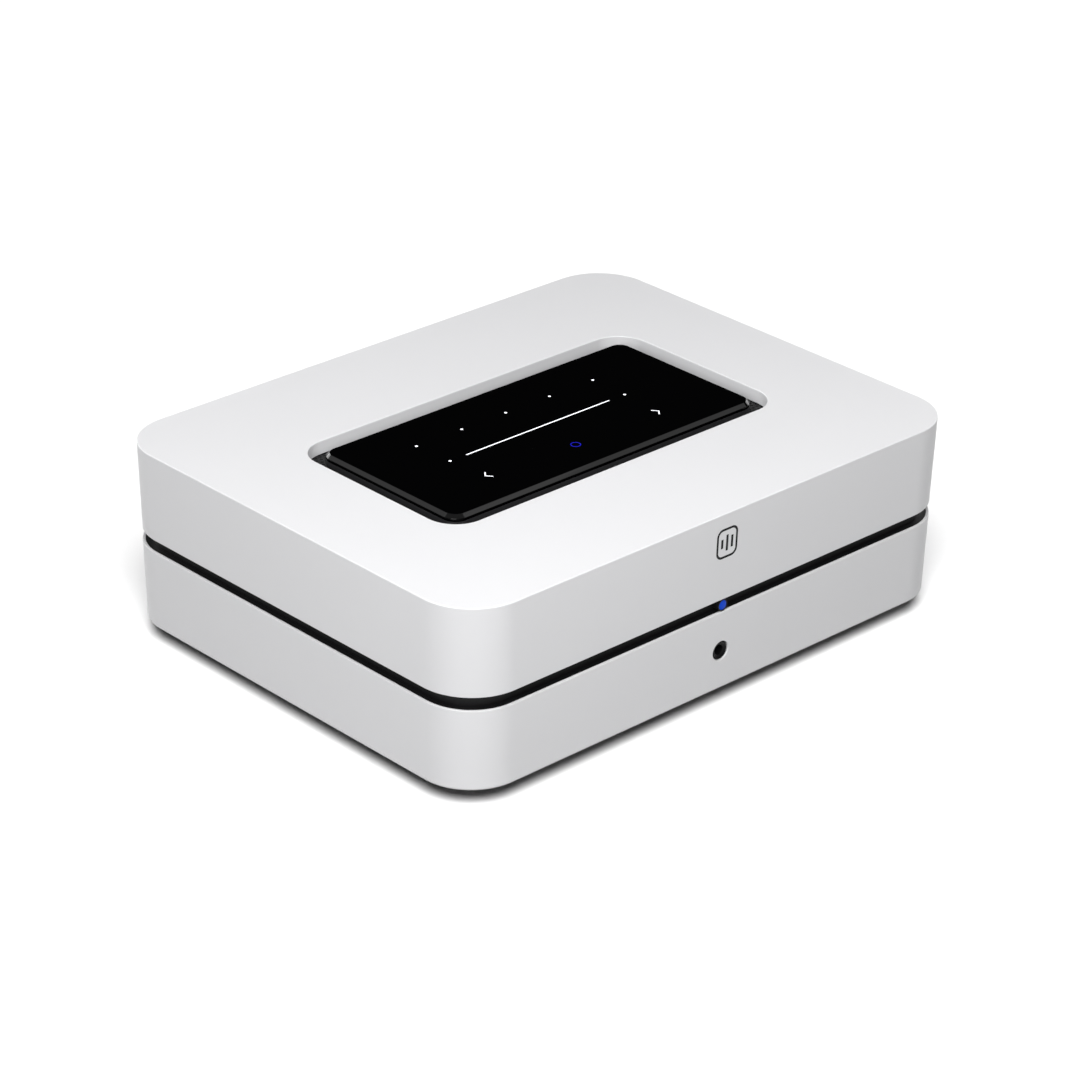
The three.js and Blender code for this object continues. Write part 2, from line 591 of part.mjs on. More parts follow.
function statusLightPipe() {
  const y0 = FRONT + lean(LIGHT_Z) + LIGHT.setBack;
  return turned([
    [0, y0], [LIGHT.r * 0.6, y0 + 0.2], [LIGHT.r, y0 + 0.9], [LIGHT.r, FRONT_BOARD_Y - 2.2],
    [0, FRONT_BOARD_Y - 2.2],
  ], 16).translate([0, 0, LIGHT_Z]);
}

function frontBoard() {
  const half = FRONT_BOARD.width / 2;
  const y1 = FRONT_BOARD_Y + FRONT_BOARD.thick;
  const bare = block(-half, half, FRONT_BOARD_Y, y1, FRONT_BOARD.bottom, FRONT_BOARD.top);
  const lamp = block(-1.6, 1.6, FRONT_BOARD_Y - 1.9, FRONT_BOARD_Y + 0.2, LIGHT_Z - 1.4,
    LIGHT_Z + 1.4);
  const eye = block(6, 11, FRONT_BOARD_Y - 3, FRONT_BOARD_Y + 0.2, LIGHT_Z - 3, LIGHT_Z + 3);
  const plug = block(-6, 6, y1 - 0.2, FRONT_PLUG_END, FRONT_BOARD.bottom + 3, FRONT_BOARD.bottom + 8);
  return join(bare, lamp, eye, plug);
}

// ---------------------------------------------------------------- speaker posts

const CAP_START = PANEL_OUT + POST.collarLong + GAP + POST.washerThick + GAP;
const WIRE_HOLE_Y = PANEL_OUT + POST.collarLong + POST.open / 2;

// The insulating block behind the panel, with a collar through it for each post.
function postBlock() {
  const x0 = postX(POST_NAMES.length - 1) - POST.blockEnd;
  const x1 = postX(0) + POST.blockEnd;
  const half = POST.blockTall / 2;
  const bar = block(x0, x1, POST_BLOCK_IN, PANEL_IN - GAP, POST.z - half, POST.z + half);
  const collars = POST_NAMES.map((_, i) =>
    rod("y", POST.collarR, PANEL_IN - 2, PANEL_OUT + POST.collarLong, [postX(i), 0, POST.z], 20));
  const bores = POST_NAMES.map((_, i) =>
    rod("y", POST.studR + GAP, PANEL_IN - 20, BACK, [postX(i), 0, POST.z], 16));
  return cut(join(bar, ...collars), ...bores);
}

function postStud() {
  const end = POST_END - 3;
  const body = turned([
    [0, PANEL_IN - POST.tail], [1.2, PANEL_IN - POST.tail], [1.2, PANEL_IN - POST.tail + 4],
    [POST.studR, PANEL_IN - POST.tail + 4], [POST.studR, end - 0.5], [POST.studR - 0.4, end],
    [POST.boreR, end], [POST.boreR, end - POST.boreLong], [0, end - POST.boreLong],
  ], 20);
  return cut(body, rod("z", POST.wireHoleR, -5, 5, [0, WIRE_HOLE_Y, 0], 10));
}

function postWasher() {
  const y0 = PANEL_OUT + POST.collarLong + GAP;
  const disc = rod("y", POST.washerR, y0, y0 + POST.washerThick, [0, 0, 0], 20);
  return cut(disc, rod("y", POST.studR + RUN, y0 - 1, y0 + POST.washerThick + 1, [0, 0, 0], 20));
}

function postCap() {
  const skirt = 2.4; // plain length at each end of the fluted grip
  const round = (r, y0, y1) => rod("y", r, y0, y1, [0, 0, 0], 2 * POST.flutes);
  const grip = new THREE.Shape();
  for (let i = 0; i < 2 * POST.flutes; i++) {
    const a = (i / (2 * POST.flutes)) * 2 * Math.PI;
    const r = POST.capR - (i % 2 ? POST.flute : 0);
    grip[i ? "lineTo" : "moveTo"](r * Math.cos(a), r * Math.sin(a));
  }
  const depth = POST_END - CAP_START - 2 * skirt;
  const fluted = new THREE.ExtrudeGeometry(grip, { depth, bevelEnabled: false })
    .rotateX(-Math.PI / 2).translate(0, CAP_START + skirt, 0);
  const nose = round(POST.capR - 0.9, POST_END - skirt - 0.2, POST_END);
  const base = round(POST.capR - 0.6, CAP_START, CAP_START + skirt + 0.2);
  const bore = round(POST.studR + RUN, CAP_START - 1, POST_END + 1);
  return cut(join(solid(fluted), nose, base), bore);
}

// ---------------------------------------------------------------- mains switch and inlet

function switchBody() {
  const y1 = PANEL_OUT + GAP + SWITCH.bezelThick;
  const y0 = PANEL_OUT - SWITCH.bodyDeep;
  const bezel = panelBlock(SWITCH.x, SWITCH.z, SWITCH.bezelW, SWITCH.bezelH, 1, PANEL_OUT + GAP, y1, 3);
  const body = panelBlock(SWITCH.x, SWITCH.z, SWITCH.bodyW, SWITCH.bodyH, 0.5, y0,
    PANEL_OUT + GAP + 0.5, 2);
  const hole = panelBlock(SWITCH.x, SWITCH.z, SWITCH.holeW, SWITCH.holeH, 0.5,
    y1 - SWITCH.holeDeep, y1 + 1, 2);
  const pivots = rod("x", ROCKER.pivotR + GAP, -SWITCH.holeW / 2 - ROCKER.stub - GAP,
    SWITCH.holeW / 2 + ROCKER.stub + GAP, [SWITCH.x, PANEL_OUT - ROCKER_PIVOT_IN, SWITCH.z], 12);
  const tags = [-5, 0, 5].map((dz) =>
    block(SWITCH.x - 2, SWITCH.x + 2, y0 - 5, y0 + 1, SWITCH.z + dz - 0.4, SWITCH.z + dz + 0.4));
  return cut(join(bezel, body, ...tags), hole, pivots);
}

// The rocker lies level about its own axis here; its group tilts it to the pressed position.
function rocker() {
  const side = new THREE.Shape([
    [ROCKER.middle, 0], [ROCKER.end, ROCKER.halfH], [-0.5, ROCKER.halfH],
    [-ROCKER.back, ROCKER.backHalf], [-ROCKER.back, -ROCKER.backHalf], [-0.5, -ROCKER.halfH],
    [ROCKER.end, -ROCKER.halfH],
  ].map(([y, z]) => new THREE.Vector2(y, z)));
  const width = SWITCH.holeW - 2 * RUN;
  const made = new THREE.ExtrudeGeometry(side, { depth: width, bevelEnabled: false });
  // The drawing's x, y and depth become the part's y, z and x.
  const turn = new THREE.Matrix4().makeBasis(
    new THREE.Vector3(0, 1, 0), new THREE.Vector3(0, 0, 1), new THREE.Vector3(1, 0, 0),
  );
  const body = solid(made.applyMatrix4(turn).translate(-width / 2, 0, 0));
  const reach = SWITCH.holeW / 2 + ROCKER.stub - GAP;
  return join(body, rod("x", ROCKER.pivotR, -reach, reach, [0, 0, 0], 12));
}

function acInlet() {
  const y1 = PANEL_OUT + GAP + INLET.flangeThick;
  const flange = panelBlock(INLET.x, INLET.z, INLET.flangeW, INLET.flangeH, 2, PANEL_OUT + GAP, y1, 3);
  const body = panelBlock(INLET.x, INLET.z, INLET.bodyW, INLET.bodyH, 2, PANEL_OUT - INLET.bodyDeep,
    PANEL_OUT + GAP + 0.5, 3);
  const socket = panelBlock(INLET.x, INLET.z, INLET.socketW, INLET.socketH, INLET.socketH / 2 - 0.01,
    y1 - INLET.socketDeep, y1 + 1, 6);
  const pins = [-1, 1].map((s) =>
    rod("y", INLET.pinR + GAP, PANEL_OUT - INLET.bodyDeep - 1, y1,
      [INLET.x + (s * INLET.pinPitch) / 2, 0, INLET.z], 12));
  return cut(join(flange, body), socket, ...pins);
}

function acPin() {
  const floor = PANEL_OUT + GAP + INLET.flangeThick - INLET.socketDeep;
  const end = floor + INLET.pinLong;
  const tail = PANEL_OUT - INLET.bodyDeep - INLET.pinTail;
  return turned([
    [0, tail], [INLET.pinR, tail], [INLET.pinR, end - 0.8], [INLET.pinR * 0.5, end], [0, end],
  ], 12);
}

// ---------------------------------------------------------------- signal sockets

const SOCKET_END = PANEL_OUT + SOCKETS.proud;

function rcaJack() {
  const s = SOCKETS.rca;
  const z = lowRow(s.bodyH);
  const y1 = PANEL_IN - GAP;
  const body = block(s.x - s.bodyW / 2, s.x + s.bodyW / 2, y1 - s.bodyDeep, y1, z - s.bodyH / 2,
    z + s.bodyH / 2);
  const sleeve = rod("y", s.sleeveR, y1 - 1, PANEL_OUT + s.long, [s.x, 0, z]);
  const ring = rod("y", s.boreR, PANEL_OUT + 1, PANEL_OUT + s.long + 1, [s.x, 0, z]);
  const pin = rod("y", s.pinR, PANEL_OUT, PANEL_OUT + s.long - 0.6, [s.x, 0, z], 16);
  const bore = rod("y", s.pinBore, PANEL_OUT - 4, PANEL_OUT + s.long + 1, [s.x, 0, z], 12);
  return cut(join(cut(join(body, sleeve), ring), pin), bore);
}

function lanJack() {
  const s = SOCKETS.lan;
  const z = lowRow(s.h);
  const body = panelBlock(s.x, z, s.w, s.h, 0.4, SOCKET_END - s.deep, SOCKET_END, 2);
  const hz = z - s.h / 2 + s.rise + s.holeH / 2;
  const hole = panelBlock(s.x, hz, s.holeW, s.holeH, 0.2, SOCKET_END - s.holeDeep, SOCKET_END + 1, 1);
  const latch = panelBlock(s.x, hz + s.holeH / 2 + 0.7, 6, 1.6, 0.2, SOCKET_END - s.holeDeep,
    SOCKET_END + 1, 1);
  return cut(body, hole, latch);
}

// A flat shielded socket with a tongue inside, as USB and display sockets have.
function tongueSocket(s, z, tongueZ) {
  const body = panelBlock(s.x, z, s.w, s.h, 0.4, SOCKET_END - s.deep, SOCKET_END, 2);
  const hole = panelBlock(s.x, z, s.w - 2 * s.wall, s.h - 2 * s.wall, 0.2,
    SOCKET_END - s.holeDeep, SOCKET_END + 1, 1);
  const tongue = block(s.x - s.tongueW / 2, s.x + s.tongueW / 2, SOCKET_END - s.holeDeep - 1,
    SOCKET_END - 1.5, z + tongueZ - s.tongueH / 2, z + tongueZ + s.tongueH / 2);
  return join(cut(body, hole), tongue);
}

function miniJack(x) {
  const s = SOCKETS.mini;
  const z = highRow(s.h);
  const y1 = PANEL_IN - GAP;
  const body = block(x - s.w / 2, x + s.w / 2, y1 - s.deep, y1, z - s.h / 2, z + s.h / 2);
  const nose = rod("y", s.noseR, y1 - 1, SOCKET_END, [x, 0, z]);
  return cut(join(body, nose), rod("y", s.boreR, SOCKET_END - s.boreDeep, SOCKET_END + 1, [x, 0, z], 16));
}

// ---------------------------------------------------------------- boards and what stands on them

// A bare board with its parts on top, each given as [x0, x1, y0, y1, height].
function board(b, y0, y1, parts) {
  const top = b.z + BOARD.thick;
  const low = top - BOARD.sink;
  const bare = block(b.x0, b.x1, y0, y1, b.z, top);
  return join(bare, ...parts.map(([x0, x1, p0, p1, h]) => block(x0, x1, p0, p1, low, top + h)));
}

function mainBoard() {
  const f = BOARDS_FRONT;
  return board(MAIN, f, PANEL_IN - GAP, [
    [-80, -62, -20, -2, 2], // processor
    [-56, -44, -18, -6, 1.2], // memory
    [-84, -72, f + 8, f + 18, 5],
    [-66, -60, f + 8, f + 20, 8],
    [-44, -30, RIBBON.landY - 4, RIBBON.landY + 1, 0.8], // ribbon connector
    [-58, -48, 18, 30, 1.4],
    [-80, -70, 16, 26, 3],
  ]);
}

function streamerModule() {
  const f = STREAMER_FRONT;
  return board(STREAMER, f, PANEL_IN - GAP, [
    [-84, -60, f + 6, f + 30, 2.6], // shield over the radio
    [-56, -46, f + 8, f + 20, 1.2],
    [-56, -46, f + 24, f + 32, 1.4],
  ]);
}

function ampBoard() {
  const under = SINK.z0 - GAP - AMP.z - BOARD.thick;
  const f = BOARDS_FRONT;
  const r = AMP_REAR;
  return board(AMP, f, r, [
    [-12, 4, -34, -10, under], // the two power stages clamp to the heat sink
    [12, 28, -34, -10, under],
    [-22, -16, r - 26, r - 6, 6],
    [36, 40, r - 30, r - 6, 8],
    [-20, 34, f + 2, f + 5, 10],
  ]);
}

function psuBoard() {
  const f = BOARDS_FRONT;
  return board(PSU, f, AMP_REAR, [
    [50, 62, f + 6, f + 24, 16], // mains filter
    [70, 96, f + 4, f + 10, 10], // fuse
    [70, 92, f + 16, f + MAINS_FILTER_DEEP, 6],
    [50, 53, -6, 20, 18], // rectifier on its own fin
    [93, 97, -14, 20, 9],
  ]);
}

function heatSink() {
  const s = SINK;
  const y0 = BOARDS_FRONT + s.front;
  const y1 = AMP_REAR - s.rear;
  const base = block(s.x0, s.x1, y0, y1, s.z0, s.z0 + s.base);
  const pitch = (s.x1 - s.x0 - s.fin) / (s.fins - 1);
  const fins = Array.from({ length: s.fins }, (_, i) => {
    const x = s.x0 + i * pitch;
    return block(x, x + s.fin, y0, y1, s.z0 + s.base - 0.5, s.top);
  });
  return join(base, ...fins);
}

function choke() {
  const z0 = AMP.z + BOARD.thick + GAP;
  const h = CHOKE.tall;
  const ring = [
    [CHOKE.holeR, 1], [CHOKE.holeR + 1, 0], [CHOKE.r - 1, 0], [CHOKE.r, 1], [CHOKE.r, h - 1],
    [CHOKE.r - 1, h], [CHOKE.holeR + 1, h], [CHOKE.holeR, h - 1], [CHOKE.holeR, 1],
  ].map(([r, y]) => new THREE.Vector2(r, y));
  return solid(new THREE.LatheGeometry(ring, 20).rotateX(Math.PI / 2).translate(0, 0, z0));
}

function transformer() {
  const c = CORE;
  const z0 = PSU.z + BOARD.thick + GAP;
  const mid = (BOARDS_FRONT + MAINS_FILTER_DEEP + AMP_REAR - CAN.rear - CAN.r) / 2;
  const y0 = mid - c.deep / 2;
  const y1 = mid + c.deep / 2;
  const bare = c.deep / 6;
  const core = block(c.x0, c.x1, y0 + bare, y1 - bare, z0 + c.stand, z0 + c.tall);
  const winding = block(c.x0 + c.winding, c.x1 - c.winding, y0, y1, z0 + c.stand + 2, z0 + c.tall - 5);
  const former = block(c.x0 + 2, c.x1 - 2, y0 + 1, y1 - 1, z0, z0 + c.stand + 0.2);
  return join(core, winding, former);
}

function capacitor() {
  return turned([
    [0, 0], [CAN.r - 0.6, 0], [CAN.r, 0.6], [CAN.r, 3], [CAN.r - 0.5, 3.6], [CAN.r, 4.2],
    [CAN.r, CAN.tall - 0.6], [CAN.r - 0.6, CAN.tall], [0, CAN.tall],
  ], 20);
}

function antenna(side) {
  const wallIn = CASE.width / 2 - lean(ANTENNA.z) - CASE.wall - GAP;
  const x = [side * (wallIn - ANTENNA.thick), side * wallIn].sort((a, b) => a - b);
  const y0 = ANTENNA.y - ANTENNA.long / 2;
  return block(x[0], x[1], y0, y0 + ANTENNA.long, ANTENNA.z, ANTENNA.z + ANTENNA.tall);
}

function antennaLead(side) {
  const clear = ANTENNA.thick + 3 * GAP + LEAD_R;
  const x = CASE.width / 2 - lean(ANTENNA.z) - CASE.wall - GAP - clear;
  const z = ANTENNA.z + ANTENNA.tall / 2;
  const start = [side * x, ANTENNA.y, z];
  const land = STREAMER.z + BOARD.thick + GAP + LEAD_R;
  const front = BOARDS_FRONT + 2;
  const f = STREAMER_FRONT;
  const between = side < 0
    ? [[-x, 12, z - 3], [-x + 4, 24, z - 8], [STREAMER.x0 - 3.6, f + 10, land + 2]]
    : [[x - 1, (ANTENNA.y + front) / 2, z], [x - 12, front + 6, z + 2], [60, front, z + 1],
      [0, front, z + 1], [-46, front + 10, z - 2], [-62, -10, z - 8], [-59, f - 8, land + 4]];
  const end = side < 0 ? [STREAMER.x0 + 2.4, f + 14, land] : [-58, f + 4, land];
  return tube([start, ...between, end], LEAD_R, side < 0 ? 16 : 30);
}

// ---------------------------------------------------------------- the assembly

const receiver = new THREE.Group();
const body = new THREE.Group();
body.position.y = -POST.reach / 2;
receiver.add(body);

function add(name, made, material, parent = body) {
  const mesh = new THREE.Mesh(geometryOf(made), material);
  mesh.name = name;
  parent.add(mesh);
  return mesh;
}

add("upper_shell", upperShell(), MATERIAL.white);
add("lower_shell", lowerShell(), MATERIAL.white);
add("mid_frame", middleFrame(), MATERIAL.frame);
add("rear_panel", rearPanel(), MATERIAL.black);
add("base_plate", basePlate(), MATERIAL.black);
add("vent_grille", ventGrille(), MATERIAL.black);
add("touch_glass", touchGlass(), MATERIAL.glass);
add("touch_tray", touchTray(), MATERIAL.black);
add("touch_board", touchBoard(), MATERIAL.board);
add("light_mask", lightMask(), MATERIAL.black);
add("touch_ribbon", touchRibbon(), MATERIAL.ribbon);
add("headphone_socket", headphoneSocket(), MATERIAL.black);
add("status_light_pipe", statusLightPipe(), MATERIAL.light);
add("front_board", frontBoard(), MATERIAL.board);

for (const [corner, sx, sy] of CORNERS) {
  const pad = add("foot_" + corner, foot(), MATERIAL.rubber);
  pad.rotation.x = Math.PI / 2;
  pad.position.set(sx * FOOT_X, sy * FOOT_Y, 0);
  const screw = add("case_screw_" + corner, caseScrew(), MATERIAL.steel);
  screw.rotation.x = Math.PI / 2;
  screw.position.set(sx * SCREW_X, sy * SCREW_Y, Z_BASE + GAP / 2);
}

add("post_block", postBlock(), MATERIAL.black);
POST_NAMES.forEach((channel, i) => {
  const post = new THREE.Group();
  post.position.set(postX(i), 0, POST.z);
  body.add(post);
  add("post_stud_" + channel, postStud(), MATERIAL.gold, post);
  add("post_washer_" + channel, postWasher(), MATERIAL.gold, post);
  add("post_cap_" + channel, postCap(), channel.endsWith("plus") ? MATERIAL.red : MATERIAL.black, post);
});

add("switch_body", switchBody(), MATERIAL.black);
const rockerMesh = add("power_rocker", rocker(), MATERIAL.black);
rockerMesh.position.set(SWITCH.x, PANEL_OUT - ROCKER_PIVOT_IN, SWITCH.z);
rockerMesh.rotation.x = THREE.MathUtils.degToRad(-SWITCH.swing);

add("ac_inlet", acInlet(), MATERIAL.black);
for (const [pole, side] of [["line", 1], ["neutral", -1]]) {
  const pin = add("ac_pin_" + pole, acPin(), MATERIAL.steel);
  pin.position.set(INLET.x + (side * INLET.pinPitch) / 2, 0, INLET.z);
}

add("sub_out_jack", rcaJack(), MATERIAL.gold);
add("lan_jack", lanJack(), MATERIAL.steel);
add("usb_port", tongueSocket(SOCKETS.usb, lowRow(SOCKETS.usb.h), 1), MATERIAL.steel);
add("hdmi_port", tongueSocket(SOCKETS.hdmi, highRow(SOCKETS.hdmi.h), 0), MATERIAL.steel);
add("line_in_jack", miniJack(SOCKETS.mini.lineX), MATERIAL.black);
add("ir_in_jack", miniJack(SOCKETS.mini.irX), MATERIAL.black);

add("main_board", mainBoard(), MATERIAL.board);
add("streamer_module", streamerModule(), MATERIAL.board);
add("amp_board", ampBoard(), MATERIAL.board);
add("psu_board", psuBoard(), MATERIAL.board);
add("heat_sink", heatSink(), MATERIAL.aluminium);
add("transformer", transformer(), MATERIAL.ferrite);

["left", "right"].forEach((side, i) => {
  const coil = add("output_choke_" + side, choke(), MATERIAL.copper);
  coil.position.set(CHOKE.xs[i], AMP_REAR - CHOKE.rear, 0);
  const can = add("supply_capacitor_" + side, capacitor(), MATERIAL.black);
  can.rotation.x = Math.PI / 2;
  can.position.set(CAN.xs[i], AMP_REAR - CAN.rear, PSU.z + BOARD.thick + GAP);
  const sign = i ? 1 : -1;
  add("antenna_" + side, antenna(sign), MATERIAL.board);
  add("antenna_lead_" + side, antennaLead(sign), MATERIAL.black);
});

export default receiver;
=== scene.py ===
"""Looks for a desktop audio receiver: its shells, glass panel, vents, sockets, posts and studio."""

from __future__ import annotations

import json
import logging
import math
from dataclasses import dataclass, field
from enum import Enum
from typing import Any, Callable, ClassVar, Sequence

import bmesh
import bpy
from mathutils import Matrix, Vector


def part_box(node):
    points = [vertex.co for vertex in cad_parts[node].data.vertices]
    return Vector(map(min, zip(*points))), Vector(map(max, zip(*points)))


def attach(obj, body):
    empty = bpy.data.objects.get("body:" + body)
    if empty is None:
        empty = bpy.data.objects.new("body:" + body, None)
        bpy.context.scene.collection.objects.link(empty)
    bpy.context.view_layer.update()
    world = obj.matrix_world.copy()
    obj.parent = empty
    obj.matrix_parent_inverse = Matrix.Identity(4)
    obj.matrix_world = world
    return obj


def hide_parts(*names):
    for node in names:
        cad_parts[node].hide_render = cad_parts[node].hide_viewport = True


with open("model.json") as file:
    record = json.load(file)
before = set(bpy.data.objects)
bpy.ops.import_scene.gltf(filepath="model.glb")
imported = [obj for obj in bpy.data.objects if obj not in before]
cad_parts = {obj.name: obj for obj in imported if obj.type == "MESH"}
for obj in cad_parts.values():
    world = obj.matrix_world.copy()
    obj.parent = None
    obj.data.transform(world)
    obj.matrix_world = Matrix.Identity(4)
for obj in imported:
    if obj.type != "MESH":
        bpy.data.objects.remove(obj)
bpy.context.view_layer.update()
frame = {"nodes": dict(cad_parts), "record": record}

LOG = logging.getLogger("receiver")
MM = 0.001
CORNERS = ("front_left", "front_right", "rear_left", "rear_right")
POSTS = ("right_plus", "right_minus", "left_minus", "left_plus")
CLOSE = 0.01  # millimetres within which a point lies in a plane
SHARP = 0.6  # radians above which an edge is a corner
PAST = 1.0  # millimetres that a cutter runs past what it cuts
LAP = 0.5  # millimetres that two parts overlap where they are fused

Triple = tuple[float, float, float]


# ---------------------------------------------------------------- places taken from the frame


class Axis(Enum):
    """A direction of the frame."""

    X = 0
    Y = 1
    Z = 2


@dataclass(frozen=True)
class Span:
    """A box along the axes, in millimetres."""

    lo: Vector
    hi: Vector

    @classmethod
    def of(cls, node: str) -> "Span":
        """Return the box of a node at rest."""
        lo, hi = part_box(node)
        return cls(lo / MM, hi / MM)

    @classmethod
    def about(cls, middle: Sequence[float], size: Sequence[float]) -> "Span":
        """Return the box of a size about a middle point."""
        half = Vector(size) / 2
        return cls(Vector(middle) - half, Vector(middle) + half)

    @property
    def mid(self) -> Vector:
        """Return the middle of the box."""
        return (self.lo + self.hi) / 2

    @property
    def size(self) -> Vector:
        """Return the box's size."""
        return self.hi - self.lo

    def shifted(self, x: float = 0.0, y: float = 0.0, z: float = 0.0) -> "Span":
        """Return the box moved along each axis."""
        step = Vector((x, y, z))
        return Span(self.lo + step, self.hi + step)

    def grown(self, x: float = 0.0, y: float = 0.0, z: float = 0.0) -> "Span":
        """Return the box grown on both sides of each axis."""
        more = Vector((x, y, z))
        return Span(self.lo - more, self.hi + more)

    def within(self, axis: Axis, low: float, high: float) -> "Span":
        """Return the box with new ends along one axis.

        Args:
            axis: The axis.
            low: Its new low end.
            high: Its new high end.

        Returns:
            The box.
        """
        lo, hi = self.lo.copy(), self.hi.copy()
        lo[axis.value], hi[axis.value] = low, high
        return Span(lo, hi)

    def low_end(self, axis: Axis = Axis.Y, step: float = 0.0) -> Vector:
        """Return the middle of the low face across an axis.

        Args:
            axis: The axis.
            step: How far the point is moved along it.

        Returns:
            The point.
        """
        point = self.mid
        point[axis.value] = self.lo[axis.value] + step
        return point

    def holds(self, *points: Vector) -> bool:
        """Say whether points are inside the box."""
        return all(a < p < b for point in points for a, p, b in zip(self.lo, point, self.hi))


SPACE = Span(Vector((-math.inf,) * 3), Vector((math.inf,) * 3))


def node_span(node: str, y: float = 0.0, z: float = 0.0) -> Any:
    """Return a field that holds the box of a node, moved along Y and Z."""
    return field(default_factory=lambda: Span.of(node).shifted(y=y, z=z))


# ---------------------------------------------------------------- modelling


class Pick(Enum):
    """What a selection in edit mode is made of."""

    VERT = "VERT"
    EDGE = "EDGE"
    FACE = "FACE"


class Workpiece:
    """A mesh object while it is being modelled, in millimetres."""

    stood_for: ClassVar[set[str]] = set()

    def __init__(self, obj: bpy.types.Object, name: str) -> None:
        """Take hold of an object.

        Args:
            obj: The object to model.
            name: The name it gets.
        """
        self.obj = obj
        self.obj.name = name
        self.obj.data.name = name

    # -- starting shapes

    @classmethod
    def block(cls, name: str, span: Span) -> "Workpiece":
        """Return a block that fills a box.

        Args:
            name: The new object's name.
            span: The box to fill.

        Returns:
            The new piece.
        """
        bpy.ops.object.select_all(action="DESELECT")
        bpy.ops.mesh.primitive_cube_add(size=1.0, location=span.mid, scale=span.size)
        return cls(bpy.context.object, name).settle()

    @classmethod
    def polygon(cls, name: str, sides: int, **settings: Any) -> "Workpiece":
        """Return a flat polygon, open in edit mode with all of it selected.

        Args:
            name: The new object's name.
            sides: The number of sides.
            settings: Further settings of the circle that it starts from.

        Returns:
            The new piece.
        """
        bpy.ops.object.select_all(action="DESELECT")
        bpy.ops.mesh.primitive_circle_add(vertices=sides, **settings)
        piece = cls(bpy.context.object, name).settle()
        bpy.ops.object.mode_set(mode="EDIT")
        bpy.ops.mesh.select_all(action="SELECT")
        return piece

    @classmethod
    def turned(
        cls, name: str, profile: Sequence[tuple[float, float]], sides: int = 64
    ) -> "Workpiece":
        """Return a round shape about +Z, drawn up from a disc ring by ring.

        Args:
            name: The new object's name.
            profile: Pairs of radius and height; the first and the last are closed by discs.
            sides: The number of sides of the circle.

        Returns:
            The new piece.
        """
        radius, height = profile[0]
        piece = cls.polygon(name, sides, radius=radius, fill_type="NGON", location=(0, 0, height))
        for next_radius, next_height in profile[1:]:
            bpy.ops.mesh.extrude_region()
            bpy.ops.transform.translate(value=(0, 0, next_height - height))
            ratio = next_radius / radius
            bpy.ops.transform.resize(value=(ratio, ratio, 1), center_override=(0, 0, next_height))
            radius, height = next_radius, next_height
        return piece.face_out()

    @classmethod
    def prism(
        cls, name: str, outline: Sequence[tuple[float, float]], width: float
    ) -> "Workpiece":
        """Return a prism across X of an outline in the YZ plane.

        Args:
            name: The new object's name.
            outline: The outline's points in order, as Y and Z.
            width: The prism's length, with its middle at X 0.

        Returns:
            The new piece.
        """
        piece = cls.polygon(name, len(outline), fill_type="NGON")
        mesh = bmesh.from_edit_mesh(piece.obj.data)
        for vertex, (y, z) in zip(mesh.verts, outline):
            vertex.co = (-width / 2, y, z)
        bmesh.update_edit_mesh(piece.obj.data)
        bpy.ops.mesh.extrude_region()
        bpy.ops.transform.translate(value=(width, 0, 0))
        return piece.face_out()

    @classmethod
    def rod(
        cls, name: str, axis: Axis, radius: float, start: Vector, length: float, sides: int = 48
    ) -> "Workpiece":
        """Return a plain cylinder that runs along an axis from a point.

        Args:
            name: The new object's name.
            axis: The axis it runs along.
            radius: Its radius.
            start: The middle of its lower end.
            length: How far it runs.
            sides: The number of sides.

        Returns:
            The new piece.
        """
        piece = cls.turned(name, [(radius, 0.0), (radius, length)], sides)
        return piece.stand(axis, start)

    # -- selecting and shaping

    def wake(self) -> None:
        """Make this object the only selected one and the active one."""
        bpy.ops.object.select_all(action="DESELECT")
        self.obj.select_set(True)
        bpy.context.view_layer.objects.active = self.obj

    def settle(self) -> "Workpiece":
        """Put the object's place, turn and scale in its mesh, and return this piece."""
        bpy.ops.object.transform_apply(location=True, rotation=True, scale=True)
        return self

    def face_out(self) -> "Workpiece":
        """Point every face outwards and leave edit mode.

        Returns:
            This piece.
        """
        bpy.ops.mesh.select_all(action="SELECT")
        bpy.ops.mesh.normals_make_consistent(inside=False)
        bpy.ops.object.mode_set(mode="OBJECT")
        return self

    def choose(self, pick: Pick, test: Callable[[Any], bool]) -> None:
        """Enter edit mode with only what passes a test selected.

        Args:
            pick: The kind of element to select.
            test: Takes an element and says whether it is selected.
        """
        self.wake()
        bpy.ops.object.mode_set(mode="EDIT")
        bpy.ops.mesh.select_mode(type=pick.value)
        bpy.ops.mesh.select_all(action="DESELECT")
        mesh = bmesh.from_edit_mesh(self.obj.data)
        elements = {Pick.VERT: mesh.verts, Pick.EDGE: mesh.edges, Pick.FACE: mesh.faces}[pick]
        for element in [e for e in elements if test(e)]:
            element.select_set(True)
        bmesh.update_edit_mesh(self.obj.data)

    def bevel(self, test: Callable[[Any], bool], width: float, segments: int) -> "Workpiece":
        """Round or chamfer the edges that pass a test.

        Args:
            test: Takes an edge and says whether it is bevelled.
            width: The bevel's offset.
            segments: The number of faces across it.

        Returns:
            This piece.
        """
        self.choose(Pick.EDGE, test)
        bpy.ops.mesh.bevel(
            offset=width, offset_type="OFFSET", segments=segments, profile=0.5, affect="EDGES",
            clamp_overlap=False,
        )
        bpy.ops.object.mode_set(mode="OBJECT")
        return self

    def round_along(
        self, axis: Axis, radius: float, segments: int, where: Span = SPACE
    ) -> "Workpiece":
        """Round the edges that run along an axis.

        Args:
            axis: The axis that the edges run along.
            radius: The corner radius.
            segments: The number of faces in each corner.
            where: The box that holds the edges.

        Returns:
            This piece.
        """

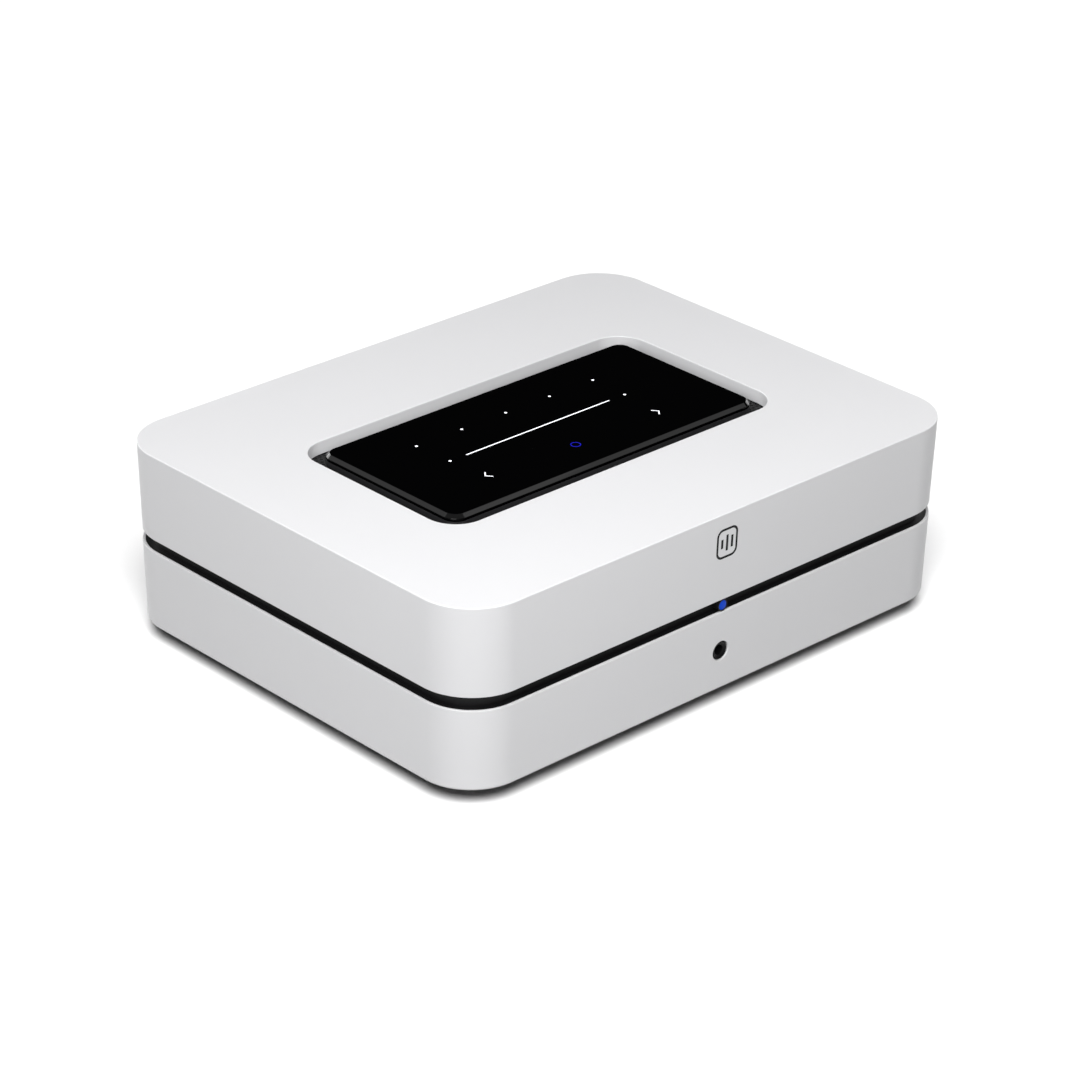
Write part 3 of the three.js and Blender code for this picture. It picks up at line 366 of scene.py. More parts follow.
        def runs_along(edge: Any) -> bool:
            """Say whether an edge in the box runs along the axis."""
            a, b = (v.co for v in edge.verts)
            return abs((a - b)[axis.value]) > 0.999 * (a - b).length and where.holds(a, b)

        return self.bevel(runs_along, radius, segments)

    def ease(self, where: Span, width: float, segments: int) -> "Workpiece":
        """Round the sharp edges that lie in a box.

        Args:
            where: The box.
            width: The bevel's offset.
            segments: The number of faces across it.

        Returns:
            This piece.
        """

        def lies_there(edge: Any) -> bool:
            """Say whether an edge is sharp and lies in the box."""
            return edge.calc_face_angle(0.0) > SHARP and where.holds(*(v.co for v in edge.verts))

        return self.bevel(lies_there, width, segments)

    def ease_level(self, axis: Axis, level: float, width: float, segments: int) -> "Workpiece":
        """Round the sharp edges that lie in a plane across an axis.

        Args:
            axis: The axis across which the plane lies.
            level: The plane's place on it.
            width: The bevel's offset.
            segments: The number of faces across it.

        Returns:
            This piece.
        """
        return self.ease(SPACE.within(axis, level - CLOSE, level + CLOSE), width, segments)

    def scale_within(
        self, where: Span, factors: Sequence[float], centre: Sequence[float]
    ) -> "Workpiece":
        """Scale the vertices in a box about a point.

        Args:
            where: The box.
            factors: The scale along each axis.
            centre: The point that stays.

        Returns:
            This piece.
        """
        self.choose(Pick.VERT, lambda vertex: where.holds(vertex.co))
        bpy.ops.transform.resize(value=tuple(factors), center_override=tuple(centre))
        bpy.ops.object.mode_set(mode="OBJECT")
        return self

    # -- joining and cutting

    def combine(self, others: Sequence["Workpiece"], operation: str) -> "Workpiece":
        """Apply a boolean with each other piece and remove it.

        Args:
            others: The pieces to use up.
            operation: UNION, DIFFERENCE or INTERSECT.

        Returns:
            This piece.
        """
        for other in others:
            self.modifier("BOOLEAN", operation=operation, solver="EXACT", object=other.obj)
            other.discard()
        return self

    def cut(self, *others: "Workpiece") -> "Workpiece":
        """Take other pieces away from this one, and return this one."""
        return self.combine(others, "DIFFERENCE")

    def fuse(self, *others: "Workpiece") -> "Workpiece":
        """Join other pieces to this one, and return this one."""
        return self.combine(others, "UNION")

    def drill(
        self, axis: Axis, radius: float, start: Sequence[float], length: float, sides: int = 48
    ) -> "Workpiece":
        """Cut a round hole along an axis from a point.

        Args:
            axis: The axis it runs along.
            radius: Its radius.
            start: The middle of its lower end.
            length: How far it runs.
            sides: The number of sides.

        Returns:
            This piece.
        """
        return self.cut(Workpiece.rod("hole", axis, radius, Vector(start), length, sides))

    def gather(self, *others: "Workpiece") -> "Workpiece":
        """Put other pieces' meshes in this one as they are.

        Args:
            others: The pieces to use up.

        Returns:
            This piece.
        """
        self.wake()
        for other in others:
            other.obj.select_set(True)
        bpy.ops.object.join()
        return self

    def discard(self) -> None:
        """Remove this piece."""
        mesh = self.obj.data
        bpy.data.objects.remove(self.obj)
        bpy.data.meshes.remove(mesh)

    def copy(self, name: str) -> "Workpiece":
        """Return a copy with its own mesh.

        Args:
            name: The copy's name.

        Returns:
            The copy.
        """
        twin = self.obj.copy()
        twin.data = self.obj.data.copy()
        bpy.context.scene.collection.objects.link(twin)
        return Workpiece(twin, name)

    # -- placing and finishing

    def move(
        self, by: Sequence[float] = (0, 0, 0), turn: Sequence[float] = (0, 0, 0)
    ) -> "Workpiece":
        """Turn the mesh about the origin, in degrees, and then move it.

        Args:
            by: The movement.
            turn: Degrees about X, Y and Z.

        Returns:
            This piece.
        """
        self.wake()
        self.obj.rotation_euler = [math.radians(angle) for angle in turn]
        self.obj.location = Vector(by)
        return self.settle()

    def stand(self, axis: Axis, at: Sequence[float]) -> "Workpiece":
        """Lay a shape made along +Z along an axis, with its origin at a point.

        Args:
            axis: The axis that its +Z takes.
            at: Where its origin goes.

        Returns:
            This piece.
        """
        turns = {Axis.X: (0, 90, 0), Axis.Y: (-90, 0, 0), Axis.Z: (0, 0, 0)}
        return self.move(by=at, turn=turns[axis])

    def modifier(self, kind: str, **settings: Any) -> "Workpiece":
        """Add a modifier and apply it.

        Args:
            kind: The modifier's type.
            settings: Its settings by name.

        Returns:
            This piece.
        """
        self.wake()
        modifier = self.obj.modifiers.new(kind.lower(), kind)
        for name, value in settings.items():
            setattr(modifier, name, value)
        bpy.ops.object.modifier_apply(modifier=modifier.name)
        return self

    def repeat(self, count: int, step: Sequence[float]) -> "Workpiece":
        """Repeat the mesh in a row.

        Args:
            count: How many there are in all.
            step: From one to the next.

        Returns:
            This piece.
        """
        return self.modifier(
            "ARRAY", count=count, use_relative_offset=False, use_constant_offset=True,
            constant_offset_displace=tuple(step),
        )

    def smooth(self, degrees: float = 30.0) -> "Workpiece":
        """Shade smooth, except across edges sharper than an angle.

        Args:
            degrees: The angle.

        Returns:
            This piece.
        """
        self.wake()
        bpy.ops.object.shade_smooth_by_angle(angle=math.radians(degrees))
        return self

    def smooth_evenly(self, degrees: float = 30.0) -> "Workpiece":
        """Shade smooth, with large flat faces setting the shading beside small bevels."""
        return self.smooth(degrees).modifier("WEIGHTED_NORMAL", keep_sharp=True, weight=50)

    def deliver(self, finish: "Finish", *nodes: str, body: str = "case") -> None:
        """Bring the piece to metres, dress it and hand it to its body.

        Args:
            finish: The finish it gets, which names the record's material slot.
            nodes: The nodes that it stands for.
            body: The body that it moves with.
        """
        self.wake()
        self.obj.scale = (MM, MM, MM)
        self.settle()
        self.obj.data.materials.clear()
        self.obj.data.materials.append(finish.material())
        if nodes:
            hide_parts(*nodes)
            self.stood_for.update(nodes)
        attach(self.obj, body)
        LOG.info("%s: %d faces, rides on %s", self.obj.name, len(self.obj.data.polygons), body)


# ---------------------------------------------------------------- shader maths


class Value:
    """A shader socket that can be used in arithmetic."""

    def __init__(self, tree: "Tree", socket: bpy.types.NodeSocket) -> None:
        """Wrap a socket of a tree."""
        self.tree = tree
        self.socket = socket

    def maths(self, operation: str, *terms: Any) -> "Value":
        """Return a Math node's result for this and other terms."""
        return self.tree.add("ShaderNodeMath", {"operation": operation}, dict(enumerate(terms)))

    def __add__(self, other: Any) -> "Value":
        """Return the sum."""
        return self.maths("ADD", self, other)

    __radd__ = __add__

    def __mul__(self, other: Any) -> "Value":
        """Return the product."""
        return self.maths("MULTIPLY", self, other)

    __rmul__ = __mul__

    def __rsub__(self, other: Any) -> "Value":
        """Return the other less this."""
        return self.maths("SUBTRACT", other, self)

    def above(self, level: Any) -> "Value":
        """Return 1 where this is greater than a level, and 0 elsewhere."""
        return self.maths("GREATER_THAN", self, level)

    def spread(self, low: float, high: float) -> "Value":
        """Return this, taken as 0 to 1, laid out between two values."""
        return self * (high - low) + low


class Tree:
    """The node tree of a material or of the world."""

    def __init__(self, owner: bpy.types.ID) -> None:
        """Empty the tree of its owner.

        Args:
            owner: A material or a world.
        """
        owner.use_nodes = True
        self.owner = owner
        self.tree = owner.node_tree
        self.tree.nodes.clear()

    @classmethod
    def of_material(cls, name: str) -> "Tree":
        """Return the empty tree of a new material."""
        return cls(bpy.data.materials.new(name))

    def add(
        self, kind: str, settings: dict[str, Any], values: dict[Any, Any], out: Any = 0
    ) -> Value | None:
        """Add a node and return one of its outputs.

        Args:
            kind: The node's type.
            settings: Its settings, set first.
            values: Values or links for its inputs, by index or name.
            out: The output to return, by index or name.

        Returns:
            The output, ready for arithmetic, or nothing if the node ends the tree.
        """
        node = self.tree.nodes.new(kind)
        for name, value in settings.items():
            setattr(node, name, value)
        for key, value in values.items():
            if isinstance(value, Value):
                self.tree.links.new(value.socket, node.inputs[key])
            else:
                node.inputs[key].default_value = value
        return Value(self, node.outputs[out]) if node.outputs else None

    def place(self, stretch: Sequence[float] = (1, 1, 1)) -> Value:
        """Return the object's own coordinates.

        Args:
            stretch: How far a pattern is compressed along each axis.

        Returns:
            The coordinates.
        """
        raw = self.add("ShaderNodeTexCoord", {}, {}, "Object")
        if tuple(stretch) == (1, 1, 1):
            return raw
        return self.add("ShaderNodeMapping", {}, {"Vector": raw, "Scale": tuple(stretch)})

    def noise(self, where: Value, scale: float, detail: float) -> Value:
        """Return a noise of 0 to 1; the scale is in waves per metre."""
        values = {"Vector": where, "Scale": scale, "Detail": detail}
        return self.add("ShaderNodeTexNoise", {}, values)

    def bump(self, height: Value, relief: float, strength: float) -> Value:
        """Return the normal of a relief, whose height is in millimetres."""
        values = {"Strength": strength, "Distance": relief * MM, "Height": height}
        return self.add("ShaderNodeBump", {}, values)

    def mix(self, share: Value, first: Any, second: Any) -> Value:
        """Return a colour between two colours.

        Args:
            share: 0 for the first and 1 for the second.
            first: A colour, as a constant or a link.
            second: The other.

        Returns:
            The colour.
        """
        ends = [end if isinstance(end, Value) else (*end, 1.0) for end in (first, second)]
        values = {"Factor": share, 6: ends[0], 7: ends[1]}
        return self.add("ShaderNodeMix", {"data_type": "RGBA"}, values, 2)

    def close(self, values: dict[str, Any]) -> bpy.types.Material:
        """Add the surface shader and the output.

        Args:
            values: The shader's values and links by socket name.

        Returns:
            The finished material.
        """
        shader = self.add("ShaderNodeBsdfPrincipled", {}, values)
        self.add("ShaderNodeOutputMaterial", {}, {"Surface": shader})
        return self.owner


# ---------------------------------------------------------------- finishes


@dataclass(frozen=True)
class Finish:
    """A surface with fine grain: two close colours, a roughness range and a small relief.

    Grain is in waves per metre, and relief is the height of the grain in millimetres. The slot is
    the record's material slot.
    """

    name: str
    slot: str
    colour: Triple
    shade: Triple
    roughness: tuple[float, float]
    grain: float
    relief: float
    metallic: float = 0.0
    coat: float = 0.0
    coat_roughness: float = 0.1
    specular: float = 0.5
    stretch: Triple = (1.0, 1.0, 1.0)
    broad: float = 25.0
    glow: float = 0.0

    def material(self) -> bpy.types.Material:
        """Return the finish's material, made once."""
        return bpy.data.materials.get(self.name) or self.build()

    def build(self) -> bpy.types.Material:
        """Make the material.

        Returns:
            The new material.
        """
        tree = Tree.of_material(self.name)
        fine = tree.noise(tree.place(self.stretch), self.grain, 2.0)
        share = fine * 0.4 + tree.noise(tree.place(), self.broad, 4.0) * 0.6
        values = {
            "Base Color": tree.mix(share, self.shade, self.colour),
            "Roughness": share.spread(*self.roughness),
            "Metallic": self.metallic,
            "Coat Weight": self.coat,
            "Coat Roughness": self.coat_roughness,
            "Specular IOR Level": self.specular,
            "Normal": tree.bump(fine, self.relief, 0.6),
        }
        if self.glow:
            values["Emission Color"] = (*self.colour, 1.0)
            values["Emission Strength"] = self.glow
        return tree.close(values)


@dataclass(frozen=True)
class BoardFinish(Finish):
    """Green solder mask with paler tracks and tinned pads."""

    pads: Triple = (0.55, 0.53, 0.48)
    pad_grid: float = 220.0
    pad_reach: float = 0.16
    track_level: float = 0.52

    def build(self) -> bpy.types.Material:
        """Make the circuit board's material.

        Returns:
            The new material.
        """
        tree = Tree.of_material(self.name)
        cells = tree.add(
            "ShaderNodeTexVoronoi",
            {"distance": "CHEBYCHEV", "feature": "F1"},
            {"Vector": tree.place(), "Scale": self.pad_grid},
            "Distance",
        )
        tracks = tree.noise(tree.place(self.stretch), self.grain, 1.0).above(self.track_level)
        pad = 1 - cells.above(self.pad_reach)
        mask = tree.mix(tracks, self.shade, self.colour)
        return tree.close(
            {
                "Base Color": tree.mix(pad, mask, self.pads),
                "Roughness": pad.spread(*self.roughness),
                "Metallic": pad * self.metallic,
                "Normal": tree.bump(tracks * 0.5 + pad * 0.5, self.relief, 0.5),
            }
        )


WHITE_PAINT = Finish(
    "satin_white_paint", "white_shell", (0.71, 0.71, 0.722), (0.695, 0.695, 0.707),
    (0.38, 0.44), 2600.0, 0.004,
)
FRAME_BLACK = Finish(
    "satin_black_frame", "frame_plastic", (0.009, 0.009, 0.0095), (0.006, 0.006, 0.0065),
    (0.38, 0.5), 1800.0, 0.01, specular=0.3,
)
MOULDED_BLACK = Finish(
    "moulded_black_plastic", "black_plastic", (0.02, 0.02, 0.021), (0.013, 0.013, 0.014),
    (0.42, 0.6), 1600.0, 0.03,
)
GLOSS_BLACK = Finish(
    "glossy_black_plastic", "black_plastic", (0.004, 0.004, 0.0042), (0.0025, 0.0025, 0.0027),
    (0.3, 0.4), 1600.0, 0.01, specular=0.12,
)
POWDER_BLACK = Finish(
    "black_powder_coat", "black_metal", (0.026, 0.026, 0.027), (0.014, 0.014, 0.015),
    (0.5, 0.68), 1400.0, 0.05,
)
BLACK_GLASS = Finish(
    "black_touch_glass", "black_glass", (0.0004, 0.0004, 0.0005), (0.0002, 0.0002, 0.0003),
    (0.05, 0.07), 400.0, 0.0005, specular=0.35,
)
RUBBER = Finish(
    "foot_rubber", "rubber", (0.03, 0.03, 0.03), (0.02, 0.02, 0.021), (0.75, 0.9), 1200.0, 0.04
)
NICKEL = Finish(
    "nickel_plate", "steel", (0.6, 0.59, 0.57), (0.5, 0.49, 0.48), (0.18, 0.32), 900.0, 0.006,
    metallic=1.0, stretch=(1.0, 0.1, 1.0),
)
GOLD = Finish(
    "gold_plate", "gold_plate", (0.86, 0.62, 0.25), (0.78, 0.54, 0.2), (0.14, 0.26), 900.0,
    0.004, metallic=1.0,
)
RED_GRIP = Finish(
    "red_grip", "red_plastic", (0.5, 0.012, 0.014), (0.38, 0.008, 0.01), (0.25, 0.36), 1500.0,
    0.01, coat=0.3,
)
BLACK_GRIP = Finish(
    "black_grip", "black_plastic", (0.018, 0.018, 0.019), (0.01, 0.01, 0.011), (0.25, 0.36),
    1500.0, 0.01, coat=0.3,
)
EXTRUSION = Finish(
    "extruded_aluminium", "aluminium", (0.62, 0.63, 0.64), (0.5, 0.51, 0.52), (0.3, 0.45),
    900.0, 0.02, metallic=1.0, stretch=(1.0, 0.05, 1.0),
)
CORE = Finish(
    "ferrite_core", "ferrite", (0.06, 0.06, 0.065), (0.035, 0.035, 0.04), (0.5, 0.7), 900.0, 0.05
)
WINDING = Finish(
    "copper_winding", "copper_wire", (0.6, 0.25, 0.08), (0.4, 0.14, 0.04), (0.25, 0.4), 900.0,
    0.1, metallic=0.8, stretch=(1.0, 1.0, 0.1),
)
FILM = Finish(
    "flat_cable_film", "ribbon_film", (0.7, 0.7, 0.66), (0.55, 0.56, 0.55), (0.35, 0.5),
    1000.0, 0.02,
)
BOARD = BoardFinish(
    "circuit_board", "circuit_board", (0.02, 0.13, 0.05), (0.012, 0.08, 0.03), (0.35, 0.25),
    600.0, 0.05, metallic=0.8, stretch=(1.0, 0.15, 1.0),
)
BLUE_LIGHT = Finish(
    "blue_status_light", "light_pipe", (0.002, 0.034, 0.32), (0.0015, 0.024, 0.26),
    (0.3, 0.38), 800.0, 0.002, glow=0.65, specular=0.1,
)
LIT_MARK = Finish(
    "lit_white_mark", "light_pipe", (0.95, 0.96, 1.0), (0.9, 0.91, 0.95), (0.4, 0.5), 3000.0,
    0.001, glow=0.6,
)
LIT_RING = Finish(
    "lit_blue_ring", "light_pipe", (0.002, 0.003, 0.42), (0.002, 0.002, 0.34), (0.4, 0.5),
    3000.0, 0.001, glow=0.55,
)
WHITE_PRINT = Finish(
    "white_print", "black_plastic", (0.75, 0.75, 0.75), (0.68, 0.68, 0.68), (0.45, 0.55),
    2500.0, 0.002,
)
INK = Finish(
    "black_print", "black_plastic", (0.005, 0.005, 0.005), (0.003, 0.003, 0.003), (0.5, 0.6),
    2500.0, 0.002, specular=0.2,
)
NODE_FINISHES = (
    WHITE_PAINT, FRAME_BLACK, MOULDED_BLACK, POWDER_BLACK, BLACK_GLASS, RUBBER, NICKEL, GOLD,
    RED_GRIP, EXTRUSION, BOARD, CORE, WINDING, FILM, BLUE_LIGHT,
)


# ---------------------------------------------------------------- the case


@dataclass
class Case:
    """The two painted shells and the black frame between them."""

    shell: Span = node_span("upper_shell")
    corner_radius: float = 19.7
    corner_segments: int = 28
    draft: float = 0.0237
    wall: float = 3.1
    upper_height: float = 30.8
    groove_height: float = 4.5
    stand_off: float = 6.5
    top_ease: float = 0.45
    seam_ease: float = 0.2
    bottom_ease: float = 0.8
    well_size: tuple[float, float] = (146.2, 76.3)
    well_radius: float = 10.9
    well_deep: float = 4.7
    well_wall: float = 1.8
    well_ease: float = 0.35
    window: tuple[float, float, float] = (176.0, 15.0, 57.0)
    window_radius: float = 5.0
    web_inset: float = 3.4
    lip: float = 0.95
    ledge_inset: float = 1.1
    rebate: float = 1.2
    boss_radius: float = 3.6
    boss_start: float = 6.5
    mark_below_top: float = 10.6
    mark_size: tuple[float, float] = (9.3, 10.6)
    mark_radius: float = 2.6
    mark_line: float = 0.8
    mark_deep: float = 0.06

    @property
    def top(self) -> float:
        """Return the height of the top face."""
        return self.shell.hi.z

    @property
    def seam_high(self) -> float:
        """Return the height of the upper shell's lower edge."""
        return self.top - self.upper_height

    @property
    def seam_low(self) -> float:
        """Return the height of the lower shell's upper edge."""
        return self.seam_high - self.groove_height

    def lean(self, z: float) -> float:
        """Return how far the wall has leaned in at a height."""
        return (self.top - z) * self.draft

    def slab(self, name: str, z0: float, z1: float, inset: float) -> Workpiece:
        """Return a leaning slab of the case's outline.

        Args:
            name: The piece's name.
            z0: Its underside.
            z1: Its top.
            inset: How far it is taken in from the outer face.

        Returns:
            The slab.
        """
        taken = inset + self.lean(z1)
        span = self.shell.grown(-taken, -taken).within(Axis.Z, z0, z1)
        piece = Workpiece.block(name, span)
        piece.round_along(Axis.Z, max(self.corner_radius - taken, 1.0), self.corner_segments)
        more = 2 * (self.lean(z0) - self.lean(z1))
        factors = (1 - more / span.size.x, 1 - more / span.size.y, 1)
        lower_half = SPACE.within(Axis.Z, -math.inf, span.mid.z)
        return piece.scale_within(lower_half, factors, span.low_end(Axis.Z))

    def rear_window(self, name: str, margin: float = 0.0) -> Workpiece:
        """Return the cutter for the opening in the rear.

        Args:
            name: The piece's name.
            margin: How far it is grown on each side.

        Returns:
            The cutter.
        """
        width, low, high = self.window
        rear = self.shell.hi.y
        span = Span(Vector((-width / 2, rear - 12, low)), Vector((width / 2, rear + 2, high)))
        cutter = Workpiece.block(name, span.grown(margin, 0, margin))
        return cutter.round_along(Axis.Y, self.window_radius + margin, 10)

    def well(self, name: str, margin: float, z0: float, z1: float) -> Workpiece:
        """Return a prism of the well's outline.

        Args:
            name: The piece's name.
            margin: How far it is grown on each side.
            z0: Its underside.
            z1: Its top.

        Returns:
            The prism.
        """
        span = Span.about(self.shell.mid, (*self.well_size, 0)).grown(margin, margin)
        prism = Workpiece.block(name, span.within(Axis.Z, z0, z1))
        return prism.round_along(Axis.Z, self.well_radius + margin, 20)

    def build_upper(self) -> None:
        """Build the upper shell with its well, its rear window and its screw bosses."""
        seam, top, floor = self.seam_high, self.top, self.top - self.well_deep
        ceiling = top - self.wall
        skin = self.slab("upper_shell_skin", seam, top, 0.0)
        skin.ease_level(Axis.Z, top, self.top_ease, 3)
        skin.ease_level(Axis.Z, seam, self.seam_ease, 3)
        skin.cut(self.slab("rebate", seam - PAST, seam + self.rebate, self.lip))
        hollow = self.slab("hollow", seam - PAST, ceiling, self.wall)
        hollow.cut(self.well("collar", self.well_wall, floor, top))
        skin.cut(hollow, self.well("opening", 0.0, floor - PAST, top + PAST))
        skin.cut(self.rear_window("window"))
        for corner in CORNERS:
            start = Span.of("case_screw_" + corner).low_end(Axis.Z, self.boss_start)
            length = ceiling + LAP - start.z
            skin.fuse(Workpiece.rod("boss", Axis.Z, self.boss_radius, start, length, 32))
        rim = Span.about(self.shell.mid, (*self.well_size, 0)).grown(0.1, 0.1)
        skin.ease(rim.within(Axis.Z, top - CLOSE, top + CLOSE), self.well_ease, 3)
        skin.smooth_evenly().deliver(WHITE_PAINT, "upper_shell")

    def build_lower(self, jack: Vector, jack_radius: float) -> None:
        """Build the lower shell.

        Args:
            jack: The middle of the headphone socket.
            jack_radius: The radius of its hole.
        """
        seam, under = self.seam_low, self.stand_off
        skin = self.slab("lower_shell_skin", under, seam, 0.0)
        skin.ease_level(Axis.Z, under, self.bottom_ease, 5)
        skin.ease_level(Axis.Z, seam, self.seam_ease, 3)
        skin.cut(
            self.slab("rebate", seam - self.rebate, seam + PAST, self.lip),
            self.slab("hollow", under + 2, seam + PAST, self.wall),
            self.slab("floor_opening", under - PAST, under + 3, 8.0),
            self.rear_window("window"),
        )
        front = self.shell.lo.y
        skin.drill(Axis.Y, jack_radius, (0, front - PAST, jack.z), 9.0, 64)
        reach = 2 * jack_radius + 0.2
        mouth = Span.about((0, 0, jack.z), (reach, 0, reach))
        skin.ease(mouth.within(Axis.Y, front - PAST, front + 2.4), 0.22, 3)
        skin.smooth_evenly().deliver(WHITE_PAINT, "lower_shell")

    def build_frame(self, lens: Vector) -> None:
        """Build the black frame whose web, ledges and light collar show in the groove.

        Args:
            lens: The middle of the status light's face.
        """
        low, high = self.seam_low, self.seam_high
        web = self.slab("middle_frame_band", low - 5, high + 5, self.web_inset)
        web.fuse(
            self.slab("lower_ledge", low - 0.9, low - 0.1, self.ledge_inset),
            self.slab("upper_ledge", high + 0.1, high + 0.9, self.ledge_inset),
        )
        rear = self.rear_window("panel_room", 4.3)
        web.cut(self.slab("inside", low - 6, high + 6, self.web_inset + 2), rear)
        web.fuse(Workpiece.rod("collar", Axis.Y, 1.95, lens + Vector((0, 0.05, 0)), 4.5))
        web.drill(Axis.Y, 1.75, lens - Vector((0, PAST, 0)), 12)
        web.smooth_evenly().deliver(FRAME_BLACK, "mid_frame")

    def build_mark(self) -> None:
        """Print a plain emblem of level bars in a rounded outline on the front."""
        z = self.top - self.mark_below_top
        line, deep, radius = self.mark_line, self.mark_deep, self.mark_radius
        wide, tall = self.mark_size
        outline = Workpiece.block("front_mark", Span.about((0, 0, 0), (wide, deep, tall)))
        outline.round_along(Axis.Y, radius, 10)
        inner = Span.about((0, 0, 0), (wide - 2 * line, 2 * deep, tall - 2 * line))
        outline.cut(Workpiece.block("inner", inner).round_along(Axis.Y, radius - line, 10))
        for place, height in zip((-2.2, 0.0, 2.2), (3.2, 5.6, 4.2)):
            bar = Span.about((place, 0, 0), (line * 1.15, deep, height))
            outline.gather(Workpiece.block("bar", bar))
        wall_y = self.shell.lo.y + self.lean(z)
        outline.move(turn=(math.degrees(math.atan(self.draft)), 0, 0))
        outline.move(by=(self.shell.mid.x, wall_y - deep / 2 + 0.02, z))
        outline.smooth().deliver(INK)


# ---------------------------------------------------------------- the touch panel


@dataclass
class TouchPanel:
    """The glass panel in the well, its lit marks and the pedestal under it."""

    glass: Span = node_span("touch_glass")
    tray: Span = node_span("touch_tray")
    corner_radius: float = 5.1
    chamfer: float = 1.15
    rim_deep: float = 2.6
    pan_inset: float = 8.6
    pan_wall: float = 1.5
    print_height: float = 0.025
    dot_radius: float = 0.5
    preset_places: tuple[float, ...] = (-41.2, -21.6, -2.1, 17.6, 37.5)
    preset_y: float = 14.9
    level_y: float = -0.5
    ring_place: tuple[float, float] = (-1.65, -18.0)
    ring_radii: tuple[float, float] = (1.75, 1.45)

    def build_glass(self) -> None:
        """Build the chamfered glass."""
        plate = Workpiece.block("touch_glass_plate", self.glass)
        plate.round_along(Axis.Z, self.corner_radius, 20)
        plate.ease_level(Axis.Z, self.glass.hi.z, self.chamfer, 1)
        plate.ease(SPACE.within(Axis.Z, self.glass.hi.z - self.chamfer - 0.05, math.inf), 0.08, 2)
        plate.smooth_evenly(24).deliver(BLACK_GLASS, "touch_glass")

    def build_pedestal(self) -> None:
        """Build the black pedestal that carries the glass."""
        under = self.glass.lo.z
        rim = self.glass.within(Axis.Z, under - self.rim_deep, under - 0.3)
        body = Workpiece.block("touch_panel_pedestal", rim)
        body.round_along(Axis.Z, self.corner_radius, 20)
        body.ease_level(Axis.Z, rim.hi.z, 0.25, 2)
        pan = self.tray.grown(-self.pan_inset, -self.pan_inset)
        pan = pan.within(Axis.Z, pan.lo.z, rim.lo.z + LAP)
        body.fuse(Workpiece.block("pan", pan).round_along(Axis.Z, 3.0, 8))
        wall = self.pan_wall
        room = pan.grown(-wall, -wall).within(Axis.Z, pan.lo.z + wall, pan.hi.z + 4)
        body.cut(Workpiece.block("room", room).round_along(Axis.Z, wall, 6))
        body.smooth_evenly().deliver(MOULDED_BLACK, "touch_tray")

    def lay_mark(self, piece: Workpiece, x: float, y: float, finish: Finish) -> None:
        """Put a mark made about the origin on the glass.

        Args:
            piece: The mark, lying in the XY plane.
            x: Its place to the right of the panel's middle.
            y: Its place behind the panel's middle.
            finish: Its finish.
        """
        middle = self.glass.mid
        level = self.glass.hi.z + self.print_height / 2
        piece.move(by=(middle.x + x, middle.y + y, level)).smooth().deliver(finish)

    def plate(self, name: str, x: float, y: float) -> Workpiece:
        """Return a thin plate of a size about the origin."""
        return Workpiece.block(name, Span.about((0, 0, 0), (x, y, self.print_height)))

    def disc(self, name: str, radius: float) -> Workpiece:
        """Return a thin disc about the origin."""
        half = self.print_height / 2
        return Workpiece.turned(name, [(radius, -half), (radius, half)], 28)

    def build_marks(self) -> None:
        """Lay the preset dots, the level line, the track keys and the blue ring."""
        dots = [
            (f"preset_dot_{index + 1}", x, self.preset_y)
            for index, x in enumerate(self.preset_places)
        ]
        dots += [
            ("level_end_dot_left", -40.4, self.level_y), ("level_end_dot_right", 37.4, self.level_y)
        ]
        for name, x, y in dots:
            self.lay_mark(self.disc(name, self.dot_radius), x, y, LIT_MARK)
        line = self.plate("level_line", 63.8, 0.5).round_along(Axis.Z, 0.23, 4)
        self.lay_mark(line, -1.6, self.level_y, LIT_MARK)
        for side, x, y, sign in (("back", -38.3, -16.0, 1), ("next", 35.8, -17.2, -1)):
            arm = self.plate("track_key_" + side, 2.7, 0.42).move(by=(1.15, 0, 0))
            other = arm.copy("arm").move(turn=(0, 0, -50))
            arm.move(turn=(0, 0, 50)).fuse(other)
            if sign < 0:
                arm.move(turn=(0, 0, 180))
            self.lay_mark(arm.move(by=(-sign, 0, 0)), x, y, LIT_MARK)
        outer, inner = self.ring_radii
        ring = self.disc("home_ring", outer).drill(Axis.Z, inner, (0, 0, -PAST), 2 * PAST, 28)
        self.lay_mark(ring, *self.ring_place, LIT_RING)


